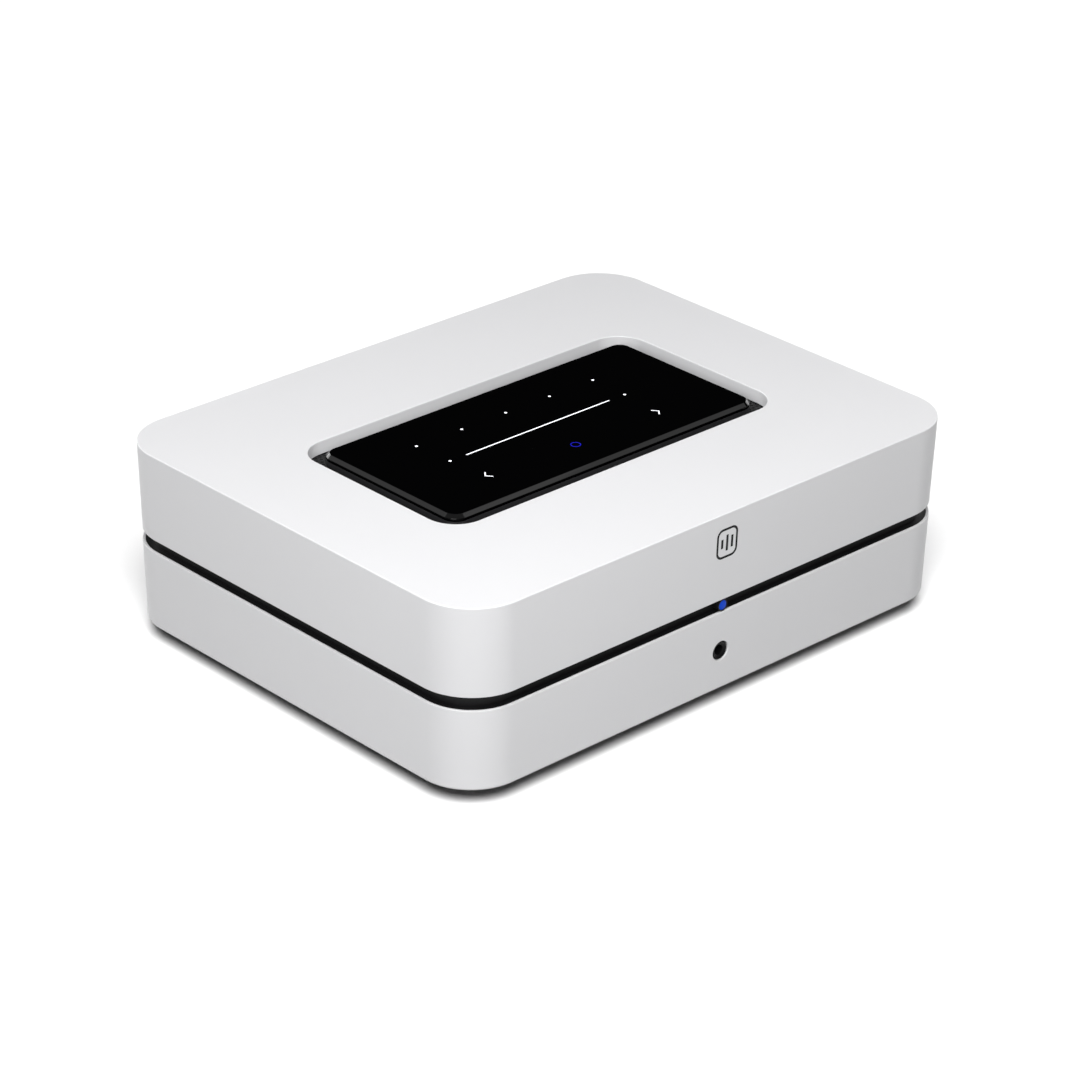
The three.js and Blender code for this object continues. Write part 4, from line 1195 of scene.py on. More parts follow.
@dataclass
class VentGrille:
    """The perforated plate at the bottom of the well."""

    plate: Span = node_span("vent_grille")
    pan: Span = node_span("touch_tray")
    pitch: float = 1.9
    hole_radius: float = 0.66
    pan_inset: float = 8.3
    sheet: float = 0.8
    edge: float = 0.9
    corner: float = 12.0
    corner_reach: float = 11.3

    def build(self) -> None:
        """Build the plate from rows of cells, and leave out the middle."""
        step_y = self.pitch * math.sqrt(3) / 2
        columns = int(self.plate.size.x / self.pitch) + 1
        rows = int(self.plate.size.y / step_y) + 1
        strip = self.ring_cell().repeat(columns, (self.pitch, 0, 0))
        strip.gather(strip.copy("odd_row").move(by=(self.pitch / 2, step_y, 0)))
        strip.repeat((rows + 1) // 2, (0, 2 * step_y, 0))
        shift = Vector((-(columns - 0.5) * self.pitch / 2, -(rows - 1) * step_y / 2, 0))
        strip.move(by=shift + Vector((self.plate.mid.x, self.plate.mid.y, self.plate.hi.z)))
        inner = self.pan.size / 2 - Vector((self.pan_inset, self.pan_inset, 0))
        outer = self.plate.size / 2

        def is_spare(face: Any) -> bool:
            """Say whether a face is off the plate or over the pan.

            Args:
                face: The face.

            Returns:
                Whether it is left out.
            """
            spot = face.calc_center_median() - self.plate.mid
            x, y = abs(spot.x), abs(spot.y)
            beyond = x > outer.x - self.edge or y > outer.y - self.edge
            past_x = max(x - outer.x + self.corner, 0)
            past_y = max(y - outer.y + self.corner, 0)
            off_corner = past_x**2 + past_y**2 > self.corner_reach**2
            return beyond or off_corner or (x < inner.x and y < inner.y)

        strip.choose(Pick.FACE, is_spare)
        bpy.ops.mesh.delete(type="FACE")
        bpy.ops.mesh.select_all(action="SELECT")
        bpy.ops.mesh.remove_doubles(threshold=CLOSE)
        bpy.ops.object.mode_set(mode="OBJECT")
        strip.modifier("SOLIDIFY", thickness=self.sheet, offset=-1.0)
        strip.smooth(35).deliver(POWDER_BLACK, "vent_grille")

    def ring_cell(self) -> Workpiece:
        """Make one cell as a six-sided ring about a round hole.

        Returns:
            The cell.
        """
        radius = self.pitch / math.sqrt(3)
        turn = (0, 0, math.radians(30))
        piece = Workpiece.polygon("perforated_vent", 6, radius=radius, rotation=turn)
        bpy.ops.mesh.subdivide(number_cuts=1)
        bpy.ops.mesh.extrude_region()
        bpy.ops.transform.tosphere(value=1.0)
        mean = self.pitch / 2 * (1 / math.cos(math.pi / 6) + 1) / 2
        ratio = self.hole_radius / mean
        bpy.ops.transform.resize(value=(ratio, ratio, 1), center_override=(0, 0, 0))
        return piece.face_out()


# ---------------------------------------------------------------- front and underside


@dataclass
class FrontFittings:
    """The headphone socket and the status light."""

    socket: Span = node_span("headphone_socket", z=-0.4)
    light: Span = node_span("status_light_pipe", y=-1.0, z=-0.4)
    hole_radius: float = 3.4
    lens_radius: float = 1.7

    def build_socket(self) -> None:
        """Build the headphone socket with its stepped mouth."""
        box, depth = self.socket, self.socket.size.y
        profile = [
            (3.22, 4.0), (3.22, 0.25), (3.0, 0.0), (2.7, 0.0), (2.35, 0.35), (1.85, 0.5),
            (1.8, 0.6), (1.8, depth - 1.2),
        ]
        mouth = Workpiece.turned("headphone_socket_barrel", profile, 56)
        mouth.stand(Axis.Y, box.low_end())
        body = Workpiece.block("body", box.within(Axis.Y, box.lo.y + 2.6, box.hi.y))
        body.round_along(Axis.Y, 0.6, 3)
        body.drill(Axis.Y, 3.0, box.low_end(step=-PAST), depth - 0.4)
        mouth.gather(body).smooth(35).deliver(GLOSS_BLACK, "headphone_socket")

    def build_light(self) -> None:
        """Build the domed light pipe that shows in the groove."""
        radius = self.lens_radius
        dome = [
            (0.5, 0.0), (1.0, 0.03), (1.4, 0.1), (1.6, 0.2), (radius, 0.4),
            (radius, self.light.size.y),
        ]
        pipe = Workpiece.turned("status_light_lens", dome, 40)
        pipe.stand(Axis.Y, self.light.low_end())
        pipe.smooth(40).deliver(BLUE_LIGHT, "status_light_pipe")


@dataclass
class Underside:
    """The rubber feet, one at each corner."""

    neck_radius: float = 3.0
    neck: float = 3.0

    def build(self) -> None:
        """Build the feet, each with a shallow dish in its sole."""
        for corner in CORNERS:
            spot = Span.of("foot_" + corner)
            outer = spot.size.x / 2
            collar = spot.hi.z - self.neck
            profile = [
                (outer - 3.6, 0.5), (outer - 3.2, 0.1), (outer - 2.9, 0.0), (outer - 1.2, 0.0),
                (outer - 0.5, 0.25), (outer - 0.1, 0.9), (outer, 1.6), (outer, collar - 0.6),
                (outer - 0.3, collar), (self.neck_radius, collar), (self.neck_radius, spot.hi.z),
            ]
            foot = Workpiece.turned("rubber_foot_" + corner, profile)
            foot.stand(Axis.Z, (spot.mid.x, spot.mid.y, 0))
            foot.smooth(35).deliver(RUBBER, "foot_" + corner)


# ---------------------------------------------------------------- the rear


@dataclass
class RearPanel:
    """The black panel in the rear window, its rim and its printed signs."""

    panel: Span = node_span("rear_panel")
    thick: float = 1.6
    flange: float = 4.0
    rim: float = 1.5
    corner_radius: float = 5.0
    gap: float = 0.3
    ink: float = 0.05
    sign: float = 3.2
    sign_line: float = 0.7
    sign_away: float = 12.5

    @property
    def face(self) -> float:
        """Return the place of the outer face along Y."""
        return self.panel.lo.y + self.thick

    def prism(self, name: str, margin: float, y0: float, y1: float) -> Workpiece:
        """Return a prism of the window's outline.

        Args:
            name: The piece's name.
            margin: How far it is grown on each side of the window.
            y0: Its front.
            y1: Its rear.

        Returns:
            The prism.
        """
        more = margin - self.flange
        piece = Workpiece.block(name, self.panel.grown(more, 0, more).within(Axis.Y, y0, y1))
        return piece.round_along(Axis.Y, self.corner_radius + margin, 10)

    def build(self) -> None:
        """Build the panel with its openings and its rim."""
        low, high = self.panel.lo.y, self.panel.hi.y
        plate = self.prism("rear_panel_plate", self.flange, low, self.face)
        rim = self.prism("rim", self.rim, self.face - LAP, high)
        rim.cut(self.prism("inside", 0.0, low, high + PAST))
        plate.fuse(rim)
        for node, inset_x, inset_z, radius in (
            ("switch_body", 1.0, 0.6, 0.6), ("ac_inlet", 1.5, 1.5, 2.0), ("lan_jack", 0, 0, 0.5),
            ("usb_port", 0, 0, 0.5), ("hdmi_port", 0, 0, 0.5),
        ):
            room = Span.of(node).grown(self.gap - inset_x, 0, self.gap - inset_z)
            room = room.within(Axis.Y, low - PAST, self.face + PAST)
            plate.cut(Workpiece.block("opening", room).round_along(Axis.Y, radius, 5))
        holes = [("line_in_jack", 3.4), ("ir_in_jack", 3.4), ("sub_out_jack", 4.45)]
        holes += [("post_cap_" + post, 6.3) for post in POSTS]
        for node, radius in holes:
            spot = Span.of(node).mid
            plate.drill(Axis.Y, radius, (spot.x, low - PAST, spot.z), self.thick + 2 * PAST)
        inset = -self.flange - 0.5
        front = self.panel.grown(inset, 0, inset)
        plate.ease(front.within(Axis.Y, self.face - CLOSE, self.face + CLOSE), 0.15, 2)
        plate.ease_level(Axis.Y, high, 0.2, 2)
        plate.smooth_evenly().deliver(MOULDED_BLACK, "rear_panel")

    def print_sign(self, name: str, x: float, z: float, bars: Sequence[Sequence[float]]) -> None:
        """Print a small sign of bars on the panel.

        Args:
            name: The piece's name.
            x: Its place across the panel.
            z: Its height.
            bars: The width and height of each bar.
        """
        middle = (x, self.face + self.ink / 2, z)
        signs = [
            Workpiece.block(name, Span.about(middle, (wide, self.ink, high)))
            .round_along(Axis.Y, min(wide, high) * 0.45, 3)
            for wide, high in bars
        ]
        signs[0].fuse(*signs[1:]).deliver(WHITE_PRINT)

    def build_signs(self) -> None:
        """Print a plus or a minus over each post and a line under each pair."""
        minus, upright = (self.sign, self.sign_line), (self.sign_line, self.sign)
        spots = {post: Span.of("post_cap_" + post).mid for post in POSTS}
        for post, spot in spots.items():
            bars = [minus, upright] if post.endswith("plus") else [minus]
            self.print_sign("sign_" + post, spot.x, spot.z + self.sign_away, bars)
        for side in ("right", "left"):
            a, b = spots[side + "_minus"], spots[side + "_plus"]
            bar = (abs(b.x - a.x) + 10, 0.6)
            self.print_sign("pair_line_" + side, (a.x + b.x) / 2, a.z - self.sign_away, [bar])


@dataclass
class SpeakerPosts:
    """The four binding posts: an insulating block, gilt studs, washers and fluted caps."""

    flutes: int = 12
    sides: int = 72
    bar_deep: float = 12.0
    collar_radius: float = 6.0
    block_bore: float = 3.3
    bore: float = 3.35
    stud_radius: float = 3.0
    plug_bore: float = 2.05

    def build_block(self) -> None:
        """Build the insulating block with a collar for each post."""
        box = Span.of("post_block")
        span = box.within(Axis.Y, box.lo.y, box.lo.y + self.bar_deep)
        bar = Workpiece.block("post_insulator", span).round_along(Axis.Y, 1.5, 4)
        for post in POSTS:
            spot = Span.of("post_cap_" + post).mid
            start = Vector((spot.x, span.hi.y - PAST, spot.z))
            length = box.hi.y - start.y
            collar = Workpiece.rod(
                "collar", Axis.Y, self.collar_radius, start, length, self.sides
            )
            bar.fuse(collar.ease_level(Axis.Y, box.hi.y, 0.5, 3))
            start.y = box.lo.y - PAST
            bar.drill(Axis.Y, self.block_bore, start, box.size.y + 2 * PAST, self.sides)
        bar.smooth_evenly().deliver(MOULDED_BLACK, "post_block")

    def build_stud(self, post: str) -> None:
        """Build a gilt stud with its plug bore, wire hole and solder tail.

        Args:
            post: The post's name.
        """
        box = Span.of("post_stud_" + post)
        long, radius, bore = box.size.y, self.stud_radius, self.plug_bore
        profile = [
            (1.1, 0.0), (1.2, 0.2), (1.2, 4.0), (radius, 4.0), (radius, long - 0.5), (2.6, long),
            (2.3, long), (bore, long - 0.4), (bore, long - 22.0), (0.3, long - 22.8),
        ]
        stud = Workpiece.turned("binding_stud_" + post, profile, 48)
        stud.stand(Axis.Y, box.low_end())
        hole_y = Span.of("post_washer_" + post).lo.y + 2.2
        stud.drill(Axis.Z, 1.5, (box.mid.x, hole_y, box.mid.z - 5), 10, 32)
        stud.smooth().deliver(GOLD, "post_stud_" + post)

    def build_washer(self, post: str) -> None:
        """Build the washer that travels with a cap.

        Args:
            post: The post's name.
        """
        box = Span.of("post_washer_" + post)
        radius, thick = box.size.x / 2, box.size.y
        profile = [(radius - 0.3, 0.0), (radius, 0.3), (radius, thick - 0.3), (radius - 0.3, thick)]
        washer = Workpiece.turned("clamp_washer_" + post, profile, self.sides)
        washer.stand(Axis.Y, box.low_end())
        washer.drill(Axis.Y, self.bore, box.low_end(step=-PAST), thick + 2 * PAST)
        washer.smooth().deliver(GOLD, "post_washer_" + post, body="washer_" + post)

    def cap(self) -> Workpiece:
        """Make a fluted cap about +Z.

        Returns:
            The cap.
        """
        box = Span.of("post_cap_" + POSTS[0])
        radius, long = box.size.x / 2, box.size.y
        profile = [
            (radius - 0.9, 0.0), (radius - 0.6, 0.3), (radius - 0.6, 2.0), (radius - 0.35, 2.2),
            (radius, 2.8), (radius, long - 3.0), (radius - 0.3, long - 2.5),
            (radius - 0.9, long - 2.3), (radius - 0.9, long - 0.5), (radius - 1.1, long - 0.15),
            (radius - 1.4, long), (4.5, long), (4.2, long - 0.3), (4.2, long - 1.6),
        ]
        grip = Workpiece.turned("fluted_cap", profile, self.sides)
        channel = [(0.5, 0), (1.05, 0.9), (1.05, long - 4.1), (0.5, long - 3.2)]
        away = radius + 0.55
        for index in range(self.flutes):
            angle = index * 2 * math.pi / self.flutes
            start = (away * math.cos(angle), away * math.sin(angle), 1.6)
            grip.cut(Workpiece.turned("flute", channel, 20).move(by=start))
        return grip.drill(Axis.Z, self.bore, (0, 0, -PAST), long + 2 * PAST).smooth(34)

    def build(self) -> None:
        """Build the block and every post."""
        self.build_block()
        master = self.cap()
        for post in POSTS:
            self.build_stud(post)
            self.build_washer(post)
            node = "post_cap_" + post
            cap = master.copy("binding_cap_" + post).stand(Axis.Y, Span.of(node).low_end())
            finish = RED_GRIP if post.endswith("plus") else BLACK_GRIP
            cap.deliver(finish, node, body="cap_" + post)
        master.discard()


@dataclass
class MainsEntry:
    """The mains switch with its rocker, and the inlet with its two pins."""

    switch: Span = node_span("switch_body")
    inlet: Span = node_span("ac_inlet")
    bezel_thick: float = 1.8
    flange_thick: float = 1.6
    rest_tilt: float = 8.0
    key_wide: float = 9.9
    key_half: float = 8.2
    key_tip: float = 3.6
    key_ridge: float = 2.4
    sign_away: float = 4.6
    sign_thick: float = 0.06
    socket_deep: float = 11.0
    lobe_radius: float = 4.0
    lobe_away: float = 3.7

    def build_switch(self) -> None:
        """Build the switch's bezel and body around the rocker's room."""
        box = self.switch
        rim_y = box.hi.y - self.bezel_thick
        bezel = Workpiece.block("switch_bezel", box.within(Axis.Y, rim_y, box.hi.y))
        bezel.round_along(Axis.Y, 1.2, 5).ease_level(Axis.Y, box.hi.y, 0.5, 3)
        body = box.grown(-1, 0, -0.6).within(Axis.Y, box.lo.y + 5, rim_y + LAP)
        bezel.fuse(Workpiece.block("body", body).round_along(Axis.Y, 0.5, 2))
        middle = Vector((box.mid.x, box.hi.y - 4.25, box.mid.z))
        room = Workpiece.block("room", Span.about(middle, (10.6, 10.5, 17.8)))
        bezel.cut(room.round_along(Axis.Y, 0.5, 3))
        bezel.smooth_evenly().deliver(MOULDED_BLACK, "switch_body")

    def seat(self, piece: Workpiece) -> Workpiece:
        """Put a shape made about the rocker's pivot in its place at rest.

        Args:
            piece: The shape.

        Returns:
            The shape.
        """
        joints = frame["record"]["behaviour"]["joints"]
        tilt = next(joint for joint in joints if joint["name"] == "power_rocker_tilt")
        return piece.move(by=Vector(tilt["pos_m"]) / MM, turn=(-self.rest_tilt, 0, 0))

    def build_rocker(self) -> None:
        """Build the two-faced rocker with its on and off signs."""
        half, tip, ridge = self.key_half, self.key_tip, self.key_ridge
        outline = [
            (tip, half), (ridge, 0.0), (tip, -half), (-0.5, -half), (-3.5, -3.0), (-3.5, 3.0),
            (-0.5, half),
        ]
        key = Workpiece.prism("rocker_key", outline, self.key_wide)
        key.ease(SPACE.within(Axis.Y, 2.0, math.inf), 0.5, 4)
        self.seat(key).smooth_evenly().deliver(BLACK_GRIP, "power_rocker", body="rocker")
        slope = math.atan((tip - ridge) / half)
        thick = self.sign_thick
        bar = Workpiece.block("on_sign", Span.about((0, 0, 0), (0.7, thick, 3.4)))
        bar.round_along(Axis.Y, 0.3, 3)
        ring = Workpiece.turned("off_sign", [(1.7, -thick / 2), (1.7, thick / 2)], 36)
        ring.stand(Axis.Y, (0, 0, 0)).drill(Axis.Y, 1.1, (0, -PAST, 0), 2 * PAST, 36)
        rise = ridge + self.sign_away * math.sin(slope) + 0.02
        for sign, side in ((bar, 1), (ring, -1)):
            sign.move(by=(0, rise, side * self.sign_away), turn=(-side * math.degrees(slope), 0, 0))
            self.seat(sign).deliver(WHITE_PRINT, body="rocker")

    def build_inlet(self) -> None:
        """Build the inlet's flange, body and waisted socket."""
        box = self.inlet
        rim_y = box.hi.y - self.flange_thick
        flange = Workpiece.block("inlet_flange", box.within(Axis.Y, rim_y, box.hi.y))
        flange.round_along(Axis.Y, 2.2, 6).ease_level(Axis.Y, box.hi.y, 0.4, 3)
        body = box.grown(-1.5, 0, -1.5).within(Axis.Y, box.lo.y, rim_y + LAP)
        flange.fuse(Workpiece.block("body", body).round_along(Axis.Y, 2.0, 4))
        floor = box.hi.y - self.socket_deep
        waist = Span.about(box.mid, (8.0, 0, 6.6)).within(Axis.Y, floor, box.hi.y + PAST)
        socket = Workpiece.block("socket", waist)
        for side in (-1, 1):
            start = waist.low_end() + Vector((side * self.lobe_away, 0, 0))
            socket.fuse(Workpiece.rod("lobe", Axis.Y, self.lobe_radius, start, waist.size.y))
        flange.cut(socket)
        for pole in ("line", "neutral"):
            spot = Span.of("ac_pin_" + pole).mid
            flange.drill(Axis.Y, 1.5, (spot.x, box.lo.y - PAST, spot.z), 30, 24)
        flange.smooth_evenly().deliver(MOULDED_BLACK, "ac_inlet")

    def build_pins(self) -> None:
        """Build the two round-ended pins."""
        for pole in ("line", "neutral"):
            box = Span.of("ac_pin_" + pole)
            radius, long = box.size.x / 2, box.size.y
            profile = [
                (radius - 0.15, 0.0), (radius, 0.15), (radius, long - 0.9),
                (radius * 0.8, long - 0.35), (radius * 0.45, long - 0.05), (radius * 0.2, long),
            ]
            pin = Workpiece.turned("inlet_pin_" + pole, profile, 32)
            pin.stand(Axis.Y, box.low_end()).smooth(40).deliver(NICKEL, "ac_pin_" + pole)

    def build(self) -> None:
        """Build the switch and the inlet."""
        self.build_switch()
        self.build_rocker()
        self.build_inlet()
        self.build_pins()


@dataclass
class Sockets:
    """The signal sockets at the rear."""

    shield: float = 0.4
    plate_y: float = field(default_factory=lambda: Span.of("rear_panel").lo.y)
    gap: float = 0.35

    def can(self, node: str, name: str, inner: Span) -> None:
        """Build a nickel shield that is hollowed from its mouth.

        Args:
            node: The node it stands for.
            name: The piece's name.
            inner: The hollow's box.
        """
        box = Span.of(node)
        can = Workpiece.block(name, box).round_along(Axis.Y, 0.5, 3)
        can.ease_level(Axis.Y, box.hi.y, 0.12, 2)
        can.cut(Workpiece.block("hollow", inner).round_along(Axis.Y, 0.25, 2))
        can.smooth_evenly().deliver(NICKEL, node)

    def contacts(
        self, name: str, count: int, pitch: float, bar: Sequence[float], at: Vector,
        tilt: float = 0.0,
    ) -> None:
        """Lay a row of gilt contacts.

        Args:
            name: The piece's name.
            count: How many there are.
            pitch: Their spacing.
            bar: The size of one.
            at: The middle of the row.
            tilt: Degrees that their inner ends drop.
        """
        blades = []
        for index in range(count):
            blade = Workpiece.block(name, Span.about((0, 0, 0), bar))
            blade.round_along(Axis.Y, bar[2] * 0.3, 1)
            x = at.x + (index - (count - 1) / 2) * pitch
            blades.append(blade.move(by=(x, at.y, at.z), turn=(tilt, 0, 0)))
        blades[0].gather(*blades[1:]).deliver(GOLD)

    def tongue(self, name: str, middle: Vector, size: Sequence[float], ease: float) -> None:
        """Build a black tongue that stands in a socket.

        Args:
            name: The piece's name.
            middle: Its middle.
            size: Its size.
            ease: How far the edges of its end are rounded.
        """
        span = Span.about(middle, size)
        tongue = Workpiece.block(name, span).ease_level(Axis.Y, span.hi.y, ease, 2)
        tongue.smooth().deliver(MOULDED_BLACK)

    def build_lan(self) -> None:
        """Build the network socket: a shield, a black insert with the mouth, and eight contacts."""
        box = Span.of("lan_jack")
        inner = box.grown(-self.shield, 0, -self.shield).shifted(y=1)
        self.can("lan_jack", "lan_shield", inner)
        core = inner.grown(-0.05, 0, -0.05).within(Axis.Y, inner.lo.y + 0.1, inner.hi.y - 1.5)
        insert = Workpiece.block("lan_insert", core)
        floor = box.lo.z + 2.0
        mouth = Span.about(box.mid, (12.0, 0, 0)).within(Axis.Y, box.hi.y - 13, box.hi.y + PAST)
        latch = mouth.grown(-3.0).within(Axis.Z, floor + 8, floor + 9.9)
        insert.cut(
            Workpiece.block("mouth", mouth.within(Axis.Z, floor, floor + 8.4)),
            Workpiece.block("latch_slot", latch),
        )
        insert.ease_level(Axis.Y, core.hi.y, 0.2, 2).smooth().deliver(MOULDED_BLACK)
        middle = Vector((box.mid.x, box.hi.y - 6.5, floor + 1.8))
        self.contacts("lan_contacts", 8, 1.02, (0.42, 9.0, 0.3), middle, -14.0)

    def build_usb(self) -> None:
        """Build the flat host socket with its tongue."""
        box = Span.of("usb_port")
        inner = box.grown(-0.7, 0, -0.7).within(Axis.Y, box.lo.y + 6, box.hi.y + PAST)
        self.can("usb_port", "host_port_shield", inner)
        middle = Vector((box.mid.x, box.hi.y - 6.9, box.mid.z + 1.0))
        self.tongue("host_port_tongue", middle, (11.0, 10.6, 1.9), 0.25)
        below = middle + Vector((0, 0.6, -1.0))
        self.contacts("host_port_contacts", 4, 2.2, (1.1, 7.5, 0.16), below)

    def build_display(self) -> None:
        """Build the display socket with its chamfered lower corners."""
        box = Span.of("hdmi_port")
        lower = SPACE.within(Axis.Z, -math.inf, box.mid.z)
        can = Workpiece.block("display_port_shield", box).round_along(Axis.Y, 1.9, 1, lower)
        inner = box.grown(-0.6, 0, -0.6).within(Axis.Y, box.lo.y + 4, box.hi.y + PAST)
        can.cut(Workpiece.block("hollow", inner).round_along(Axis.Y, 1.6, 1, lower))
        can.ease_level(Axis.Y, box.hi.y, 0.1, 1).smooth_evenly().deliver(NICKEL, "hdmi_port")
        middle = Vector((box.mid.x, box.hi.y - 4.9, box.mid.z + 0.1))
        self.tongue("display_port_tongue", middle, (11.0, 6.6, 1.3), 0.2)
        for side, step in (("upper", 0.68), ("lower", -0.68)):
            level = middle + Vector((0, 0.4, step))
            self.contacts(f"display_port_contacts_{side}", 10, 1.0, (0.45, 5.2, 0.1), level)

    def build_sub_out(self) -> None:
        """Build the gilt phono socket around its black insulator."""
        box, plate_y = Span.of("sub_out_jack"), self.plate_y
        long = box.hi.y - plate_y + 0.3
        spot = box.within(Axis.Y, plate_y, box.hi.y)
        profile = [
            (4.15, 0.0), (4.15, long - 0.35), (3.85, long), (3.45, long), (3.2, long - 0.3),
            (3.2, 1.2),
        ]
        sleeve = Workpiece.turned("sub_out_sleeve", profile)
        sleeve.stand(Axis.Y, spot.low_end(step=-0.3))
        nut = Workpiece.turned("nut", [(5.6, 0.0), (5.6, 1.5), (5.2, 1.9)], 6)
        nut.stand(Axis.Y, spot.low_end(step=1.75)).drill(Axis.Y, 4.2, spot.low_end(), 6)
        sleeve.gather(nut).smooth().deliver(GOLD, "sub_out_jack")
        core = [
            (3.1, 0.0), (3.1, 2.2), (2.3, 2.2), (2.3, long - 2.2), (2.0, long - 1.9),
            (1.6, long - 1.9), (1.6, 3.0),
        ]
        insulator = Workpiece.turned("sub_out_insulator", core, 48)
        insulator.stand(Axis.Y, spot.low_end(step=1.0)).smooth().deliver(MOULDED_BLACK)
        body = Workpiece.block("sub_out_body", box.within(Axis.Y, box.lo.y, plate_y - self.gap))
        body.round_along(Axis.Y, 0.6, 3).smooth().deliver(MOULDED_BLACK)

    def build_mini(self, node: str, name: str) -> None:
        """Build a small round jack.

        Args:
            node: The node it stands for.
            name: The piece's name.
        """
        box, plate_y = Span.of(node), self.plate_y
        long = box.hi.y - plate_y + 0.3
        profile = [
            (3.1, 0.0), (3.1, long - 0.2), (2.9, long), (2.3, long), (2.0, long - 0.5),
            (1.8, long - 0.7), (1.8, 0.3),
        ]
        spot = box.within(Axis.Y, plate_y, box.hi.y)
        nose = Workpiece.turned(name, profile, 56).stand(Axis.Y, spot.low_end(step=-0.3))
        nose.drill(Axis.Y, 1.75, spot.low_end(step=-PAST), 3.0, 32)
        back = Workpiece.block("body", box.within(Axis.Y, box.lo.y, plate_y - self.gap))
        back.round_along(Axis.Y, 0.5, 3).drill(Axis.Y, 1.8, box.low_end(step=1.5), 30, 32)
        nose.gather(back).smooth().deliver(MOULDED_BLACK, node)

    def build(self) -> None:
        """Build every socket."""
        self.build_lan()
        self.build_usb()
        self.build_display()
        self.build_sub_out()
        self.build_mini("line_in_jack", "line_in_nose")
        self.build_mini("ir_in_jack", "remote_in_nose")


# ---------------------------------------------------------------- the nodes that stay


def dress_nodes(replaced: set[str]) -> None:
    """Give each node that still shows its slot's finish.

    Args:
        replaced: The nodes that finished pieces stand for.
    """
    slots = {part["node"]: part["material_slot"] for part in frame["record"]["subparts"]}
    finishes = {finish.slot: finish for finish in NODE_FINISHES}
    for node, obj in frame["nodes"].items():
        if node in replaced:
            continue
        finish = finishes[slots[node]]
        for slot in obj.material_slots:
            slot.material = finish.material()
        if not obj.material_slots:
            obj.data.materials.append(finish.material())


# ---------------------------------------------------------------- the studio


def direction(azimuth: float, elevation: float) -> Vector:
    """Return the unit vector from the object towards a viewer.

    Args:
        azimuth: Degrees about +Z; 0 is the front and 90 the right.
        elevation: Degrees above the floor.

    Returns:
        The direction.
    """
    az, el = math.radians(azimuth), math.radians(elevation)
    return Vector((math.sin(az) * math.cos(el), -math.cos(az) * math.cos(el), math.sin(el)))


class Falls(Enum):
    """What a light falls on."""

    OBJECT = "EXCLUDE"
    FLOOR = "INCLUDE"


@dataclass(frozen=True)
class Softbox:
    """A soft light: a panel, or with no size a broad distant lamp.

    Distances and sizes are in metres, and the lamp's power is per square metre.
    """

    name: str
    azimuth: float
    elevation: float
    distance: float
    size: tuple[float, float]
    power: float
    falls: Falls = Falls.OBJECT
    spread: float = 7.0
    mirrored: bool = True

    def build(self, target: Vector, floor: bpy.types.Object) -> None:
        """Hang the light so that it faces a point.

        Args:
            target: The point it faces.
            floor: The floor, which it lights alone or leaves alone.
        """
        distant = not any(self.size)
        data = bpy.data.lights.new(self.name, "SUN" if distant else "AREA")
        data.energy = self.power
        if distant:
            data.angle = math.radians(self.spread)
        else:
            data.shape = "RECTANGLE"
            data.size, data.size_y = self.size
        light = bpy.data.objects.new(self.name, data)
        bpy.context.scene.collection.objects.link(light)
        back = direction(self.azimuth, self.elevation)
        light.location = target + back * self.distance
        light.rotation_euler = back.to_track_quat("Z", "Y").to_euler()
        light.visible_glossy = self.mirrored
        listed = bpy.data.collections.new(self.name + "_falls_on")
        listed.objects.link(floor)
        light.light_linking.receiver_collection = listed
        listed.collection_objects[0].light_linking.link_state = self.falls.value


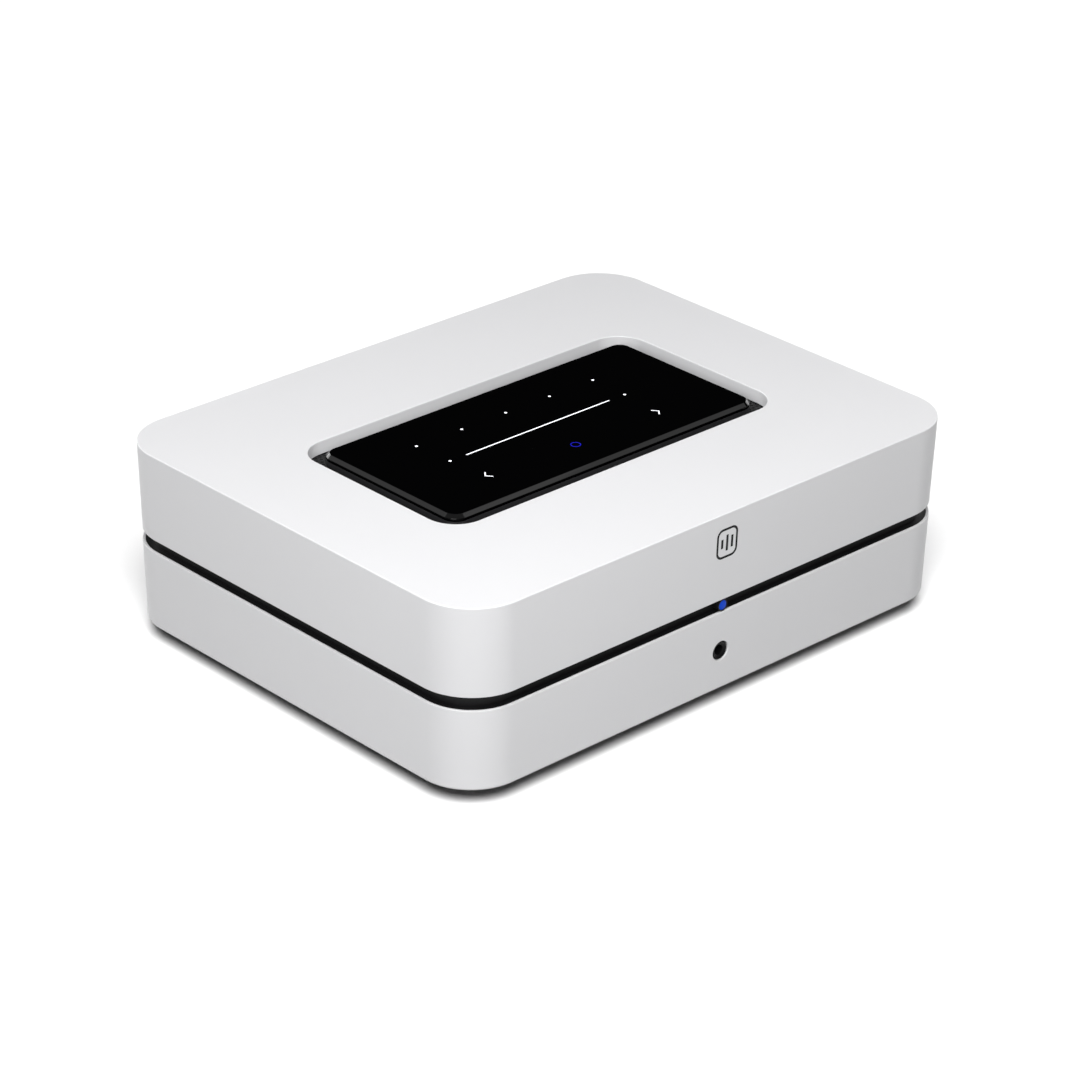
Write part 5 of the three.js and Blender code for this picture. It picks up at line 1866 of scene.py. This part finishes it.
@dataclass
class Studio:
    """The camera, the floor, the lights and the pale horizon, in metres and degrees."""

    azimuth: float = -43.483
    elevation: float = 26.673
    roll: float = 0.963
    distance: float = 1.258277
    lens: float = 126.62
    sensor: float = 36.0
    far: float = 50.0
    aim_below_top: float = 0.041886
    aim_behind_middle: float = -0.000253
    floor_size: float = 600.0
    underfoot: float = 0.05
    low: float = 0.45
    horizon: float = 1.0
    horizon_top: float = 0.11
    room: float = 0.01
    softboxes: tuple[Softbox, ...] = (
        Softbox("floor_lamp", -43.5, 52.0, 3.0, (0.0, 0.0), 4.6, Falls.FLOOR, spread=32.0),
        Softbox("overhead_box", 0.0, 90.0, 1.2, (2.2, 2.2), 6.0),
        Softbox("near_corner_box", -45.0, 65.0, 0.7, (0.4, 0.4), 2.2, mirrored=False),
        Softbox("front_box", -55.0, 32.0, 0.9, (0.5, 0.5), 5.6),
        Softbox("well_box", -6.0, 38.0, 0.9, (0.5, 0.5), 1.9, mirrored=False),
        Softbox("rear_box", 190.0, 14.0, 1.1, (0.7, 0.5), 5.0),
        Softbox("right_box", 100.0, 14.0, 1.1, (0.7, 0.5), 3.4),
        Softbox("left_edge_box", -145.3, 37.9, 1.4, (0.5, 0.5), 0.8),
        Softbox("right_edge_box", 53.9, 40.4, 1.4, (0.5, 0.5), 0.8),
    )

    def target(self) -> Vector:
        """Work out the point that the camera looks at.

        Returns:
            The point, in metres.
        """
        lo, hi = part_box("upper_shell")
        middle = (lo + hi) / 2
        return Vector((middle.x, middle.y + self.aim_behind_middle, hi.z - self.aim_below_top))

    def build_camera(self) -> None:
        """Place the camera."""
        data = bpy.data.cameras.new("camera")
        data.lens = self.lens
        data.sensor_width = self.sensor
        data.clip_end = self.far
        camera = bpy.data.objects.new("camera", data)
        bpy.context.scene.collection.objects.link(camera)
        back = direction(self.azimuth, self.elevation)
        az, roll = math.radians(self.azimuth), math.radians(self.roll)
        level = Vector((math.cos(az), math.sin(az), 0))
        upright = back.cross(level)
        right = level * math.cos(roll) + upright * math.sin(roll)
        up = upright * math.cos(roll) - level * math.sin(roll)
        turn = Matrix((right, up, back)).transposed().to_4x4()
        camera.matrix_world = Matrix.Translation(self.target() + back * self.distance) @ turn
        bpy.context.scene.camera = camera

    def build_floor(self) -> bpy.types.Object:
        """Lay the pale floor.

        Returns:
            The floor.
        """
        bpy.ops.object.select_all(action="DESELECT")
        bpy.ops.mesh.primitive_plane_add(size=self.floor_size, location=(0, 0, 0))
        floor = bpy.context.object
        floor.name = "studio_floor"
        floor.visible_diffuse = False
        tree = Tree.of_material("studio_floor_white")
        grain = tree.noise(tree.place(), 300.0, 2.0)
        values = {
            "Base Color": tree.mix(grain, (0.93, 0.93, 0.93), (0.95, 0.95, 0.95)),
            "Roughness": 0.95,
            "Specular IOR Level": 0.0,
        }
        floor.data.materials.append(tree.close(values))
        return floor

    def build_world(self) -> None:
        """Set a room that is pale along the horizon and dark above it."""
        world = bpy.data.worlds.new("studio")
        tree = Tree(world)
        where = tree.add("ShaderNodeTexCoord", {}, {}, "Generated")
        height = tree.add("ShaderNodeSeparateXYZ", {}, {"Vector": where}, "Z")
        level = height.above(-0.5) * (self.low - self.underfoot) + self.underfoot
        level = level + height.above(0.0) * (self.horizon - self.low)
        level = level + height.above(self.horizon_top) * (self.room - self.horizon)
        light = tree.add("ShaderNodeBackground", {}, {"Strength": level})
        tree.add("ShaderNodeOutputWorld", {}, {"Surface": light})
        bpy.context.scene.world = world

    def build(self) -> None:
        """Build the whole studio."""
        bpy.context.scene.view_settings.view_transform = "Standard"
        self.build_camera()
        floor = self.build_floor()
        self.build_world()
        for box in self.softboxes:
            box.build(self.target(), floor)
        LOG.info("studio: %d softboxes", len(self.softboxes))


def main() -> None:
    """Build every sub-assembly, dress the nodes that stay, and set the studio."""
    logging.basicConfig(level=logging.INFO, format="%(name)s %(message)s")
    front = FrontFittings()
    case = Case()
    case.build_upper()
    case.build_lower(front.socket.mid, front.hole_radius)
    case.build_frame(front.light.low_end())
    case.build_mark()
    panel = TouchPanel()
    panel.build_glass()
    panel.build_pedestal()
    panel.build_marks()
    VentGrille().build()
    front.build_socket()
    front.build_light()
    Underside().build()
    rear = RearPanel()
    rear.build()
    rear.build_signs()
    SpeakerPosts().build()
    MainsEntry().build()
    Sockets().build()
    dress_nodes(Workpiece.stood_for)
    Studio().build()


if __name__ == "__main__":
    main()
